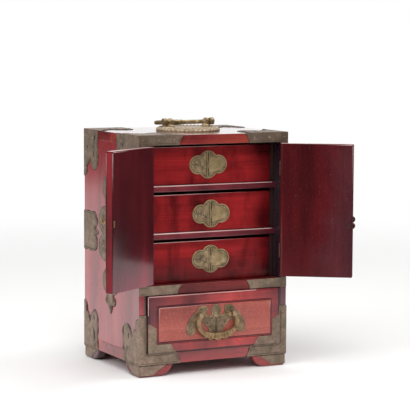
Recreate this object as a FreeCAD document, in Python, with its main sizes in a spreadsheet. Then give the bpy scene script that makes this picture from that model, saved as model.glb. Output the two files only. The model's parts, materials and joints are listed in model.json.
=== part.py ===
import FreeCAD, Part
import os
from types import SimpleNamespace

Vector = FreeCAD.Vector
UP = Vector(0, 0, 1)

# Driving dimensions in millimetres and degrees
SIZES = {
    "body_width": 182.4,
    "body_depth": 146.8,
    "foot_height": 13.3,
    "side_thickness": 8.8,
    "top_thickness": 10.5,
    "bottom_thickness": 12.1,
    "back_thickness": 6.0,
    "back_rabbet": 4.0,
    "middle_thickness": 10.2,
    "housing_depth": 3.0,
    "base_bay_height": 64.1,
    "lower_bay_height": 48.2,
    "middle_bay_height": 44.8,
    "upper_bay_height": 45.1,
    "lining_thickness": 4.6,
    "lining_setback": 2.0,
    "shelf_thickness": 7.2,
    "shelf_clearance": 2.2,
    "shelf_rounding": 1.6,
    "foot_inset": 1.0,
    "foot_thickness": 9.5,
    "foot_front_length": 41.0,
    "foot_front_flat": 24.0,
    "foot_side_length": 37.0,
    "foot_side_flat": 19.0,
    "foot_bow": 3.6,
    "foot_rounding": 1.5,
    "brass_sheet": 0.6,
    "cap_top_length": 34.0,
    "cap_bottom_length": 17.0,
    "cap_lift": 1.8,
    "cap_gap": 0.8,
    "cap_hollow": 1.2,
    "top_rail_mount_length": 53.2,
    "bottom_rail_mount_length": 50.8,
    "top_stile_mount_length": 25.0,
    "bottom_stile_mount_length": 54.7,
    "mount_end_slant": 5.0,
    "middle_mount_length": 51.2,
    "upper_leaf_width": 58.0,
    "upper_leaf_height": 46.0,
    "lower_leaf_width": 41.5,
    "lower_leaf_height": 50.0,
    "rear_leaf_width": 38.0,
    "rear_leaf_height": 53.0,
    "top_leaf": 46.0,
    "leaf_slit_width": 1.6,
    "strap_height": 43.7,
    "strap_length": 40.0,
    "medallion_width": 64.0,
    "medallion_height": 176.0,
    "medallion_thickness": 1.0,
    "medallion_lift": 46.9,
    "medallion_eye_radius": 1.5,
    "door_thickness": 8.8,
    "door_side_gap": 0.6,
    "door_meeting_gap": 1.6,
    "door_top_gap": 1.25,
    "door_bottom_gap": 3.2,
    "door_rounding": 3.0,
    "door_left_angle": 148.0,
    "door_right_angle": 145.0,
    "hinge_axis_stand": 1.2,
    "hinge_height": 16.0,
    "hinge_inset": 20.0,
    "hinge_leaf_width": 8.0,
    "hinge_leaf_thickness": 0.5,
    "hinge_leaf_clearance": 1.3,
    "hinge_knuckle_radius": 1.0,
    "hinge_pin_radius": 0.45,
    "hinge_pin_clearance": 0.05,
    "hinge_knuckle_gap": 0.2,
    "lock_plate_radius": 24.0,
    "lock_plate_thickness": 0.8,
    "staple_radius": 0.8,
    "staple_clearance": 0.05,
    "staple_inset": 2.2,
    "staple_rise": 1.1,
    "staple_loop_radius": 3.2,
    "staple_loop_width": 2.2,
    "clinch_length": 7.0,
    "clinch_width": 2.0,
    "lug_inset": 4.0,
    "lug_drop": 13.5,
    "lug_reach": 2.5,
    "lug_height": 14.5,
    "lug_width": 9.0,
    "lug_thickness": 1.2,
    "lug_stand": 0.4,
    "lug_boss_radius": 1.6,
    "drawer_setback": 2.5,
    "drawer_side_clearance": 0.5,
    "drawer_running_gap": 0.3,
    "drawer_top_gap": 3.2,
    "drawer_front_thickness": 9.0,
    "drawer_wall": 5.0,
    "drawer_lap": 4.0,
    "drawer_bottom": 3.0,
    "drawer_bottom_lift": 3.0,
    "drawer_groove": 2.5,
    "drawer_back_gap": 2.0,
    "drawer_rounding": 0.8,
    "pull_plate_width": 46.0,
    "pull_plate_height": 31.0,
    "pull_notch_across": 9.5,
    "pull_notch_up": 10.0,
    "pull_plate_thickness": 0.8,
    "upper_plate_across": -1.4,
    "upper_plate_up": 0.5,
    "middle_plate_across": 2.6,
    "middle_plate_up": -1.9,
    "lower_plate_across": 2.2,
    "lower_plate_up": 1.7,
    "pull_crease_width": 0.7,
    "pull_crease_depth": 0.3,
    "base_front_clearance": 0.8,
    "base_front_thickness": 12.0,
    "base_front_proud": 3.2,
    "base_front_rounding": 2.0,
    "base_top_gap": 0.8,
    "base_rim_across": 12.6,
    "base_rim_up": 12.7,
    "base_panel_groove": 2.0,
    "base_panel_bed": 3.0,
    "base_panel_proud": 1.2,
    "base_panel_rounding": 0.9,
    "base_mount_length": 32.0,
    "base_mount_rise": 33.0,
    "base_mount_clearance": 0.6,
    "bat_half_width": 36.3,
    "bat_height": 34.5,
    "bat_thickness": 0.8,
    "bail_post_spacing": 31.0,
    "bail_pivot_drop": 11.4,
    "bail_half_width": 25.8,
    "bail_drop": 29.0,
    "bail_thickness": 4.0,
    "bail_pin_radius": 1.1,
    "bail_post_height": 3.6,
    "bail_post_base": 3.2,
    "bail_post_head": 2.5,
    "handle_across": 4.0,
    "handle_plate_radius": 36.0,
    "handle_plate_thickness": 4.4,
    "handle_plate_rim": 1.2,
    "handle_plate_crown": 28.5,
    "handle_plate_swell": 0.9,
    "handle_post_spacing": 44.8,
    "handle_post_height": 5.6,
    "handle_post_base": 5.6,
    "handle_post_head": 4.2,
    "handle_pin_radius": 1.6,
    "handle_bar_radius": 2.4,
    "handle_reach": 31.0,
    "handle_corner_radius": 12.0,
    "handle_eye_radius": 3.8,
    "handle_fold_angle": 4.5,
    "pin_clearance": 0.05,
    "free_clearance": 0.4,
}

doc = FreeCAD.newDocument("portable_cabinet")
sheet = doc.addObject("Spreadsheet::Sheet", "Sizes")
for row, (name, number) in enumerate(SIZES.items(), 1):
    sheet.set(f"A{row}", name)
    sheet.set(f"B{row}", str(number))
    sheet.setAlias(f"B{row}", name)
doc.recompute()


class Size:
    """A length that keeps its number beside the sheet expression that it comes from."""

    def __init__(self, text, number):
        self.text = text
        self.number = number

    def join(self, sign, other, number):
        return Size(f"({self.text} {sign} {as_size(other).text})", number)

    def __add__(self, other):
        return self.join("+", other, self.number + float(other))

    def __sub__(self, other):
        return self.join("-", other, self.number - float(other))

    def __mul__(self, other):
        return self.join("*", other, self.number * float(other))

    def __truediv__(self, other):
        return self.join("/", other, self.number / float(other))

    def __radd__(self, other):
        return as_size(other) + self

    def __rsub__(self, other):
        return as_size(other) - self

    def __rmul__(self, other):
        return as_size(other) * self

    def __neg__(self):
        return as_size(0) - self

    def __float__(self):
        return float(self.number)


def as_size(thing):
    return thing if isinstance(thing, Size) else Size(repr(float(thing)), float(thing))


s = SimpleNamespace(**{name: Size(f"Sizes.{name}", sheet.get(name)) for name in SIZES})
nodes = []


def node(label, piece):
    """Name a finished piece of the cabinet."""
    piece.Label = label
    nodes.append(piece)
    return piece


def group(label, pieces):
    """Like pieces that share one name, each still a solid of its own."""
    compound = doc.addObject("Part::Compound", label)
    compound.Links = pieces
    return node(label, compound)


def new_body(name):
    return doc.addObject("PartDesign::Body", name)


def block(piece, kind, x, y, z):
    """An Additive or Subtractive box between pairs of near and far faces."""
    feature = piece.newObject(f"PartDesign::{kind}Box", f"{piece.Name}_{kind}")
    for side, axis, (near, far) in zip(("Length", "Width", "Height"), "xyz", (x, y, z)):
        feature.setExpression(side, as_size(far - near).text)
        feature.setExpression(f"Placement.Base.{axis}", as_size(near).text)
    return feature


def board(name, x, y, z, *hollows):
    """A board with housings, grooves or rabbets cut out of it."""
    piece = new_body(name)
    block(piece, "Additive", x, y, z)
    for hollow in hollows:
        block(piece, "Subtractive", *hollow)
    return piece


def round_edges(piece, radius, wanted):
    """Round those edges of the piece for which wanted(edge) holds."""
    doc.recompute()
    base = piece.Tip
    names = []
    for number, edge in enumerate(base.Shape.Edges, 1):
        if wanted(edge):
            names.append(f"Edge{number}")
    fillet = piece.newObject("PartDesign::Fillet", f"{piece.Name}_rounding")
    fillet.Base = (base, names)
    fillet.setExpression("Radius", as_size(radius).text)
    return fillet


def near(first, second):
    return abs(float(first) - float(second)) < 1e-4


def outline_edges(outline):
    """Edges round an outline of corners (x, y). A third number bows out the side that ends there."""
    edges = []
    last = outline[-1]
    for corner in outline:
        start = Vector(float(last[0]), float(last[1]), 0)
        end = Vector(float(corner[0]), float(corner[1]), 0)
        if len(corner) == 2:
            edges.append(Part.LineSegment(start, end))
        else:
            chord = end - start
            outward = Vector(chord.y, -chord.x, 0).normalize()
            edges.append(Part.Arc(start, (start + end) / 2 + outward * float(corner[2]), end))
        last = corner
    return edges


def circle(x, y, radius):
    return [Part.Circle(Vector(float(x), float(y), 0), UP, float(radius))]


def sketch(piece, plane, height, edges):
    """A drawing on one of the piece's own planes, height along that plane's normal."""
    drawing = piece.newObject("Sketcher::SketchObject", f"{piece.Name}_outline")
    support = [face for face in piece.Origin.OriginFeatures if face.Role == plane][0]
    drawing.AttachmentSupport = [(support, "")]
    drawing.MapMode = "FlatFace"
    drawing.setExpression("AttachmentOffset.Base.z", as_size(height).text)
    drawing.addGeometry(edges, False)
    return drawing


def pad(piece, plane, height, edges, depth, backwards=False):
    """Sheet or bar of the given depth raised from a drawing."""
    feature = piece.newObject("PartDesign::Pad", f"{piece.Name}_pad")
    feature.Profile = sketch(piece, plane, height, edges)
    feature.setExpression("Length", as_size(depth).text)
    feature.Reversed = backwards
    return feature


def bore(piece, plane, edges):
    """A hole right through the piece, both ways from a drawing on a middle plane."""
    feature = piece.newObject("PartDesign::Pocket", f"{piece.Name}_bore")
    feature.Profile = sketch(piece, plane, 0, edges)
    feature.Type = "ThroughAll"
    feature.Midplane = True
    return feature


def placed(outline, x, y, across=1, up=1):
    """An outline moved to x, y and mirrored where across or up is -1."""
    moved = []
    for corner in outline:
        bow = [float(number) * across * up for number in corner[2:]]
        moved.append((float(x) + across * float(corner[0]), float(y) + up * float(corner[1]), *bow))
    return moved


def fold(path, across, up):
    """A path followed by its own mirror image, run backwards."""
    image = []
    for here, after in zip(path, path[1:]):
        image.append((here[0] * across, here[1] * up, *after[2:]))
    return path + image[::-1]


def closed(path):
    """Close a path whose last corner is its first, keeping the bow of the last side."""
    return [(path[0][0], path[0][1], *path[-1][2:])] + path[1:-1]


def scaled(path, across, up):
    """A path drawn in shares of a half width and a height, at its real size; bows go with the width."""
    return [(x * float(across), y * float(up), *[b * float(across) for b in bow]) for x, y, *bow in path]


# Planes of the carcass, from the middle of its footprint on the floor
half_width = s.body_width / 2
back = s.body_depth / 2
front = -back
inner_half = half_width - s.side_thickness
lined_half = inner_half - s.lining_thickness
back_inside = back - s.back_thickness
door_inside = front + s.door_thickness
shelf_face = door_inside + s.shelf_clearance
drawer_face = shelf_face + s.drawer_setback
lining_face = drawer_face + s.lining_setback
carcass_bottom = s.foot_height
base_floor = carcass_bottom + s.bottom_thickness
base_ceiling = base_floor + s.base_bay_height
bay_floor = base_ceiling + s.middle_thickness
lower_shelf = bay_floor + s.lower_bay_height
middle_floor = lower_shelf + s.shelf_thickness
upper_shelf = middle_floor + s.middle_bay_height
upper_floor = upper_shelf + s.shelf_thickness
bay_ceiling = upper_floor + s.upper_bay_height
carcass_top = bay_ceiling + s.top_thickness
width = (-half_width, half_width)
depth = (front, back)


# Sides of the cabinet, and its corners as name, side across and side in depth
SIDES = (("left", -1), ("right", 1))
CORNERS = (("front_left", -1, -1), ("front_right", 1, -1), ("back_left", -1, 1), ("back_right", 1, 1))


def span(side, first, second):
    """The near and far faces of a piece on one side of the middle."""
    return sorted([side * first, side * second], key=float)


def side_panel(label, side):
    """A side with a housing for the middle board and a rabbet for the back; side is -1 or 1."""
    faces = span(side, half_width, inner_half)
    housed = span(side, inner_half + s.housing_depth, inner_half)
    rabbet = span(side, inner_half + s.back_rabbet, inner_half)
    middle = (housed, (front, back_inside), (base_ceiling, bay_floor))
    rear = (rabbet, (back_inside, back), (base_floor, bay_ceiling))
    node(label, board(label, faces, depth, (base_floor, bay_ceiling), middle, rear))


def lining(label, side):
    """The inner wall that the three small drawers run against, grooved for the shelves."""
    faces = span(side, inner_half, lined_half)
    run = (lining_face, back_inside)
    grooved = span(side, lined_half + s.drawer_groove, lined_half)
    grooves = [(grooved, run, (shelf, shelf + s.shelf_thickness)) for shelf in (lower_shelf, upper_shelf)]
    node(label, board(label, faces, run, (bay_floor, bay_ceiling), *grooves))


def shelf(label, height):
    """A dust board between two drawers: its rounded nose spans the sides, the rest fits in the linings."""
    tall = (height, height + s.shelf_thickness)
    reach = lined_half + s.drawer_groove
    ends = [(span(side, reach, inner_half), (lining_face, back_inside), tall) for side in (-1, 1)]
    piece = board(label, (-inner_half, inner_half), (shelf_face, back_inside), tall, *ends)

    def nose(edge):
        return near(edge.CenterOfMass.y, shelf_face) and near(edge.CenterOfMass.x, 0)

    round_edges(piece, s.shelf_rounding, nose)
    node(label, piece)


def carcass():
    node("top_panel", board("top_panel", width, depth, (bay_ceiling, carcass_top)))
    node("bottom_panel", board("bottom_panel", width, depth, (carcass_bottom, base_floor)))
    side_panel("left_side_panel", -1)
    side_panel("right_side_panel", 1)
    rear = inner_half + s.back_rabbet
    node("back_panel", board("back_panel", (-rear, rear), (back_inside, back), (base_floor, bay_ceiling)))
    housed = inner_half + s.housing_depth
    middle = board("middle_board", (-housed, housed), (front, back_inside), (base_ceiling, bay_floor))
    node("middle_board", middle)
    lining("left_drawer_lining", -1)
    lining("right_drawer_lining", 1)
    shelf("lower_drawer_shelf", lower_shelf)
    shelf("upper_drawer_shelf", upper_shelf)


def leaf(piece, face, outline, thickness, inset=0, holes=()):
    """A sheet leaf on one outer face of the cabinet, inset from it; its outline is in that face's plane."""
    edges = outline_edges(outline)
    for hole in holes:
        edges += hole
    if face in ("left", "right"):
        height = (half_width - inset) * (1 if face == "right" else -1)
        pad(piece, "YZ_Plane", height, edges, thickness, face == "left")
    elif face in ("front", "back"):
        height = (back - inset) * (1 if face == "front" else -1)
        pad(piece, "XZ_Plane", height, edges, thickness, face == "back")
    else:
        pad(piece, "XY_Plane", carcass_top, edges, thickness)


def face_names(side, end):
    return ("right" if side > 0 else "left"), ("back" if end > 0 else "front")


def bracket_leg(length, flat):
    """One leg of a foot from its outer corner: flat below, a rounded inner end above."""
    tall = s.foot_height
    return [(0, 0), (flat, 0), (length, tall, s.foot_bow), (0, tall)]


def foot(name, side, end):
    """An L-shaped bracket foot under one corner, its outer lower edges rounded."""
    piece = new_body(f"{name}_foot")
    outer_x = side * (half_width - s.foot_inset)
    outer_y = end * (back - s.foot_inset)
    across = bracket_leg(s.foot_front_length, s.foot_front_flat)
    along = bracket_leg(s.foot_side_length, s.foot_side_flat)
    edges = outline_edges(placed(across, outer_x, 0, -side))
    pad(piece, "XZ_Plane", -outer_y, edges, s.foot_thickness, end < 0)
    edges = outline_edges(placed(along, outer_y, 0, -end))
    pad(piece, "YZ_Plane", outer_x, edges, s.foot_thickness, side > 0)

    def outer_edge(edge):
        middle = edge.CenterOfMass
        at_side = near(middle.x, outer_x)
        at_end = near(middle.y, outer_y)
        return (near(middle.z, 0) and at_side != at_end) or (at_side and at_end)

    round_edges(piece, s.foot_rounding, outer_edge)
    node(f"{name}_foot", piece)


def foot_cap(name, side, end):
    """A brass cap round the outer corner of a foot, clear of the floor and of the mount above."""
    piece = new_body(f"{name}_foot_cap")
    outer = s.brass_sheet
    high = s.foot_height - s.cap_gap
    profile = [
        (-outer, s.cap_lift),
        (s.cap_bottom_length, s.cap_lift),
        (s.cap_top_length, high, -s.cap_hollow),
        (-outer, high),
    ]
    flank, face = face_names(side, end)
    outer_x = side * (half_width - s.foot_inset)
    outer_y = end * (back - s.foot_inset)
    leaf(piece, face, placed(profile, outer_x, 0, -side), s.brass_sheet, s.foot_inset)
    leaf(piece, flank, placed(profile, outer_y, 0, -end), s.brass_sheet, s.foot_inset)
    return piece


def feet():
    for corner in CORNERS:
        foot(*corner)
    group("foot_caps", [foot_cap(*corner) for corner in CORNERS])


def cloud_leaf(wide, tall):
    """A cloud-cut leaf from its corner at 0, 0: a slit at its foot, a round lobe, a notch and a horn."""
    wide, tall, edge = float(wide), float(tall), float(s.brass_sheet)
    slit = float(s.leaf_slit_width)
    base = [
        (-edge, -edge),
        (0.82 * wide - slit, -edge),
        (0.66 * wide, 0.4 * tall, 0.05 * wide),
        (0.82 * wide, -edge, -0.04 * wide),
        (wide, -edge),
    ]
    rim = [
        (0.96, 0.3, 0.02),
        (0.98, 0.64, 0.03),
        (0.6, 0.8, 0.15),
        (0.44, 0.62, 0.03),
        (0.34, 0.7),
        (0.23, 0.76, 0.02),
        (0.2, 0.87, -0.02),
    ]
    return base + scaled(rim, wide, tall) + [(-edge, tall, 0.06 * wide)]


def frame_leaf(rail_length, rail_height, stile_length):
    """A front leaf that follows the rail and the stile, its rail end cut on a hollow slant."""
    edge = s.brass_sheet
    stile = s.side_thickness
    slant = s.mount_end_slant
    return [
        (-edge, -edge),
        (rail_length, -edge),
        (rail_length - slant, rail_height, -slant / 5),
        (stile, rail_height),
        (stile, stile_length),
        (-edge, stile_length),
    ]


def corner_mount(name, side, end, level):
    """Folded brass on one corner; level is 1 at the top and -1 at the bottom."""
    piece = new_body(name)
    flank, face = face_names(side, end)
    corner_x, corner_y = side * half_width, end * back
    corner_z = carcass_top if level > 0 else carcass_bottom
    if end > 0:
        flank_leaf = cloud_leaf(s.rear_leaf_width, s.rear_leaf_height)
        face_leaf = flank_leaf
    elif level > 0:
        flank_leaf = cloud_leaf(s.upper_leaf_width, s.upper_leaf_height)
        face_leaf = frame_leaf(s.top_rail_mount_length, s.top_thickness, s.top_stile_mount_length)
    else:
        flank_leaf = cloud_leaf(s.lower_leaf_width, s.lower_leaf_height)
        face_leaf = frame_leaf(s.bottom_rail_mount_length, s.bottom_thickness, s.bottom_stile_mount_length)
    if level < 0:
        flank_leaf = above_floor(flank_leaf)
        face_leaf = above_floor(face_leaf)
    leaf(piece, face, placed(face_leaf, corner_x, corner_z, -side, -level), s.brass_sheet)
    leaf(piece, flank, placed(flank_leaf, corner_y, corner_z, -end, -level), s.brass_sheet)
    if level > 0:
        cap = cloud_leaf(s.top_leaf, s.top_leaf)
        leaf(piece, "top", placed(cap, corner_x, corner_y, -side, -end), s.brass_sheet)
    return piece


def above_floor(outline):
    """A bottom leaf ends flush with the carcass instead of folding under it."""
    return [(corner[0], max(float(corner[1]), 0), *corner[2:]) for corner in outline]


def corner_mounts():
    for level, height in ((1, "top"), (-1, "bottom")):
        for end, where in ((-1, "front"), (1, "back")):
            label = f"{height}_{where}_corner_mounts"
            pair = [corner_mount(f"{label}_{side_name}", side, end, level) for side_name, side in SIDES]
            group(label, pair)


def middle_mount(name, side):
    """A flat strap over the stile and the end of the middle rail."""
    piece = new_body(name)
    slant = s.mount_end_slant
    long = s.middle_mount_length
    tall = s.middle_thickness
    outline = [(0, 0), (long - slant, 0), (long, tall, -slant / 5), (0, tall)]
    leaf(piece, "front", placed(outline, side * half_width, base_ceiling, -side), s.brass_sheet)
    return piece


def edge_strap(name, side):
    """A two-lobed strap folded round a back edge, each lobe ending in a slit at the waist."""
    piece = new_body(name)
    tall = float(s.strap_height) / 2
    long = float(s.strap_length)
    edge = float(s.brass_sheet)
    half = [
        (-edge, -tall),
        (0.62 * long, -tall),
        (0.9 * long, -0.5 * tall, 0.1 * long),
        (0.7 * long, -0.16 * tall, 0.05 * long),
        (long, 0, 0.025 * long),
    ]
    outline = fold(half, 1, -1)
    flank, face = face_names(side, 1)
    leaf(piece, face, placed(outline, side * half_width, lower_shelf, -side), s.brass_sheet)
    leaf(piece, flank, placed(outline, back, lower_shelf, -1), s.brass_sheet)
    return piece


def medallion(label, side):
    """A tall medallion: four rounded lobes between two budded ends, each bud and tip pierced by an eye."""
    piece = new_body(label)
    quarter = [
        (0.62, 0.0),
        (0.47, 0.34, 0.44),
        (0.44, 0.45, -0.1),
        (0.25, 0.75, 0.3),
        (0.19, 0.79),
        (0.12, 0.86, 0.25),
        (0.0, 1.0, 0.05),
    ]
    outline = closed(fold(fold(quarter, -1, 1), 1, -1))
    half, tall = s.medallion_width / 2, s.medallion_height / 2
    centre = carcass_bottom + s.medallion_lift + tall
    holes = []
    for end in (-1, 1):
        for across, up in ((-0.27, 0.825), (0.27, 0.825), (0, 0.91)):
            holes.append(circle(across * half, centre + end * up * tall, s.medallion_eye_radius))
    outline = placed(scaled(outline, half, tall), 0, centre)
    leaf(piece, "right" if side > 0 else "left", outline, s.medallion_thickness, holes=holes)
    node(label, piece)


def side_brass():
    group("middle_rail_mounts", [middle_mount(f"{name}_rail_mount", side) for name, side in SIDES])
    group("back_edge_straps", [edge_strap(f"{name}_strap", side) for name, side in SIDES])
    for name, side in SIDES:
        medallion(f"{name}_side_medallion", side)


# The doors are drawn shut, flush with the front, and then swung open about their hinge axes
hinge_x = inner_half - s.door_side_gap / 2
hinge_y = front - s.hinge_axis_stand
door_edge = inner_half - s.door_side_gap
door_meeting = s.door_meeting_gap / 2
door_low = bay_floor + s.door_bottom_gap
door_high = bay_ceiling - s.door_top_gap
door_middle = (door_low + door_high) / 2
plate_face = front - s.lock_plate_thickness
hinge_bases = (door_low + s.hinge_inset, door_high - s.hinge_inset - s.hinge_height)
staple_at = (-(door_meeting + s.staple_inset), door_middle + s.staple_rise)
lug_at = (door_meeting + s.lug_inset, door_middle - s.lug_drop)
DOORS = (("left", -1, s.door_left_angle, staple_at), ("right", 1, s.door_right_angle, lug_at))


def swing(piece, side, angle):
    """Turn a piece of a shut door open."""
    axis = Vector(float(side * hinge_x), float(hinge_y), 0)
    piece.Placement = FreeCAD.Placement(Vector(), FreeCAD.Rotation(UP, side * float(angle)), axis)
    return piece


def hinge_leaf(name, side, base, outward, segments):
    """A leaf with its share of three knuckles; outward is 1 on the stile and -1 on the door."""
    piece = new_body(name)
    thick = (front - s.hinge_leaf_thickness, front)
    near_axis = hinge_x + outward * s.hinge_leaf_clearance
    block(piece, "Additive", span(side, near_axis, hinge_x + outward * s.hinge_leaf_width), thick,
          (base, base + s.hinge_height))
    third = s.hinge_height / 3
    ring = circle(side * hinge_x, hinge_y, s.hinge_knuckle_radius)
    hole = circle(side * hinge_x, hinge_y, s.hinge_pin_radius + s.hinge_pin_clearance)
    for segment in segments:
        low = base + third * segment + s.hinge_knuckle_gap / 2
        high = base + third * (segment + 1) - s.hinge_knuckle_gap / 2
        block(piece, "Additive", span(side, hinge_x, near_axis), thick, (low, high))
        pad(piece, "XY_Plane", low, ring + hole, high - low)
    return piece


def hinge_pin(name, side, base):
    piece = new_body(name)
    pad(piece, "XY_Plane", base, circle(side * hinge_x, hinge_y, s.hinge_pin_radius), s.hinge_height)
    return piece


def shank_hole(at):
    return circle(*at, s.staple_radius + s.staple_clearance)


def door_panel(label, side, at):
    """A door with its inner hinge edge rounded to clear the drawers, bored at the given place."""
    panel = board(label, span(side, door_meeting, door_edge), (front, door_inside), (door_low, door_high))

    def hinge_corner(edge):
        middle = edge.CenterOfMass
        return near(middle.x, side * door_edge) and near(middle.y, door_inside)

    round_edges(panel, s.door_rounding, hinge_corner)
    bore(panel, "XZ_Plane", shank_hole(at))
    return panel


def lock_plate(label, side, at):
    """A half-round plate on the door's outer face against its free edge."""
    piece = new_body(label)
    radius = s.lock_plate_radius
    half_disc = placed([(0, -radius), (0, radius, radius)], side * door_meeting, door_middle, side)
    pad(piece, "XZ_Plane", -front, outline_edges(half_disc) + shank_hole(at), s.lock_plate_thickness)
    return piece


def staple(label, at):
    """A ring outside, a shank through the door and a clinched end on the inner face."""
    piece = new_body(label)
    ring_y = plate_face - s.staple_loop_radius
    ring = circle(ring_y, at[1], s.staple_loop_radius)
    hole = circle(ring_y, at[1], s.staple_loop_radius - s.staple_radius * 2)
    pad(piece, "YZ_Plane", at[0] - s.staple_loop_width / 2, ring + hole, s.staple_loop_width)
    shank(piece, at, s.staple_radius)
    return piece


def shank(piece, at, sunk):
    """The shank from within the outer part, sunk beyond the plate, to its clinched end."""
    length = s.door_thickness + s.lock_plate_thickness + sunk
    pad(piece, "XZ_Plane", -door_inside, circle(*at, s.staple_radius), length)
    wide = (at[0] - s.clinch_width / 2, at[0] + s.clinch_width / 2)
    high = at[1] + s.clinch_width / 2
    thick = (door_inside, door_inside + s.brass_sheet)
    block(piece, "Additive", wide, thick, (high - s.clinch_length, high))


def lug(label, at):
    """A two-lobed lug that laps over the other door's plate, on a boss that holds it clear."""
    piece = new_body(label)
    lobe = s.lug_height / 4
    tip = door_meeting - s.lug_reach + lobe
    far = tip + s.lug_width - lobe
    outline = [
        (tip, -2 * lobe),
        (far, -lobe),
        (far, lobe, lobe / 3),
        (tip, 2 * lobe),
        (tip, 0, lobe),
        (tip, -2 * lobe, lobe),
    ]
    edges = outline_edges(placed(closed(outline), 0, at[1]))
    pad(piece, "XZ_Plane", -plate_face + s.lug_stand, edges, s.lug_thickness)
    pad(piece, "XZ_Plane", -plate_face, circle(*at, s.lug_boss_radius), s.lug_stand + s.lug_thickness / 2)
    shank(piece, at, s.lug_stand)
    return piece


def doors():
    stile_leaves, pins = [], []
    for name, side, angle, at in DOORS:
        catch = (staple if side < 0 else lug)(f"{name}_door_staple", at)
        leaves = []
        for number, base in enumerate(hinge_bases, 1):
            stile_leaves.append(hinge_leaf(f"{name}_stile_leaf_{number}", side, base, 1, (0, 2)))
            pins.append(hinge_pin(f"{name}_hinge_pin_{number}", side, base))
            leaves.append(swing(hinge_leaf(f"{name}_door_leaf_{number}", side, base, -1, (1,)), side, angle))
        panel = door_panel(f"{name}_door_panel", side, at)
        plate = lock_plate(f"{name}_door_lock_plate", side, at)
        for piece in (panel, plate, catch):
            node(piece.Name, swing(piece, side, angle))
        group(f"{name}_door_hinge_leaves", leaves)
    group("stile_hinge_leaves", stile_leaves)
    group("hinge_pins", pins)


# The drawers as name, floor and ceiling of the bay, and where the plate sits off the front's middle
drawer_half = lined_half - s.drawer_side_clearance
drawer_rear = back_inside - s.drawer_back_gap
DRAWERS = (
    ("upper", upper_floor, bay_ceiling, s.upper_plate_across, s.upper_plate_up),
    ("middle", middle_floor, upper_shelf, s.middle_plate_across, s.middle_plate_up),
    ("lower", bay_floor, lower_shelf, s.lower_plate_across, s.lower_plate_up),
)


def drawer_box(name, half, face, thickness, low, high, rounding, *recesses):
    """Sides lapped into the front, a bottom in grooves and a back that stands on the bottom."""
    behind = face + thickness
    inside = half - s.drawer_wall
    grooved = inside + s.drawer_groove
    slab = (low + s.drawer_bottom_lift, low + s.drawer_bottom_lift + s.drawer_bottom)
    laps = [(span(side, inside, half), (behind - s.drawer_lap, behind), (low, high)) for side in (-1, 1)]
    groove = ((-grooved, grooved), (behind - s.drawer_groove, behind), slab)
    hollows = (*laps, groove, *recesses)
    fascia = board(f"{name}_drawer_front", (-half, half), (face, behind), (low, high), *hollows)
    limits = [(float(-half), float(half)), (float(low), float(high))]

    def outer_edge(edge):
        middle = edge.CenterOfMass
        on_rim = any(near(middle.x, x) for x in limits[0]) or any(near(middle.z, z) for z in limits[1])
        return near(middle.y, face) and on_rim

    round_edges(fascia, rounding, outer_edge)
    node(f"{name}_drawer_front", fascia)
    run = (behind - s.drawer_lap, drawer_rear)
    walls = []
    for side_name, side in SIDES:
        slot = (span(side, inside, grooved), run, slab)
        wall = board(f"{name}_drawer_side_{side_name}", span(side, inside, half), run, (low, high), slot)
        walls.append(wall)
    group(f"{name}_drawer_sides", walls)
    rear = (drawer_rear - s.drawer_wall, drawer_rear)
    node(f"{name}_drawer_back", board(f"{name}_drawer_back", (-inside, inside), rear, (slab[1], high)))
    laid = (behind - s.drawer_groove, drawer_rear)
    node(f"{name}_drawer_bottom", board(f"{name}_drawer_bottom", (-grooved, grooved), laid, slab))


def quatrefoil_plate(label, x, z):
    """A four-lobed plate with a crease down its middle."""
    piece = new_body(label)
    notch_x, notch_z = s.pull_notch_across, s.pull_notch_up
    side_bow = s.pull_plate_width / 2 - notch_x
    end_bow = s.pull_plate_height / 2 - notch_z
    outline = [
        (notch_x, -notch_z, end_bow),
        (notch_x, notch_z, side_bow),
        (-notch_x, notch_z, end_bow),
        (-notch_x, -notch_z, side_bow),
    ]
    pad(piece, "XZ_Plane", -drawer_face, outline_edges(placed(outline, x, z)), s.pull_plate_thickness)
    plate_front = drawer_face - s.pull_plate_thickness
    crease = (x - s.pull_crease_width / 2, x + s.pull_crease_width / 2)
    tall = (z - s.pull_plate_height / 2, z + s.pull_plate_height / 2)
    block(piece, "Subtractive", crease, (plate_front, plate_front + s.pull_crease_depth), tall)
    node(label, piece)


def inner_drawers():
    for name, floor, ceiling, plate_x, plate_up in DRAWERS:
        low = floor + s.drawer_running_gap
        high = ceiling - s.drawer_top_gap
        drawer_box(name, drawer_half, drawer_face, s.drawer_front_thickness, low, high, s.drawer_rounding)
        quatrefoil_plate(f"{name}_drawer_plate", plate_x, (low + high) / 2 + plate_up)


# The base drawer stands a little proud of the frame
base_half = inner_half - s.base_front_clearance
base_face = front - s.base_front_proud
base_low = base_floor + s.drawer_running_gap
base_high = base_ceiling - s.base_top_gap
panel_half = base_half - s.base_rim_across
panel_face = base_face - s.base_panel_proud
panel_low = base_low + s.base_rim_up
panel_top = base_high - s.base_rim_up
bail_pivot = panel_top - s.bail_pivot_drop
bail_axis = panel_face - s.bat_thickness - s.bail_post_height


def base_panel():
    """The raised panel in its recess, its front edges rounded."""
    thick = (panel_face, base_face + s.base_panel_bed)
    piece = board("base_drawer_panel", (-panel_half, panel_half), thick, (panel_low, panel_top))
    round_edges(piece, s.base_panel_rounding, lambda edge: near(edge.CenterOfMass.y, panel_face))
    node("base_drawer_panel", piece)


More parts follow.
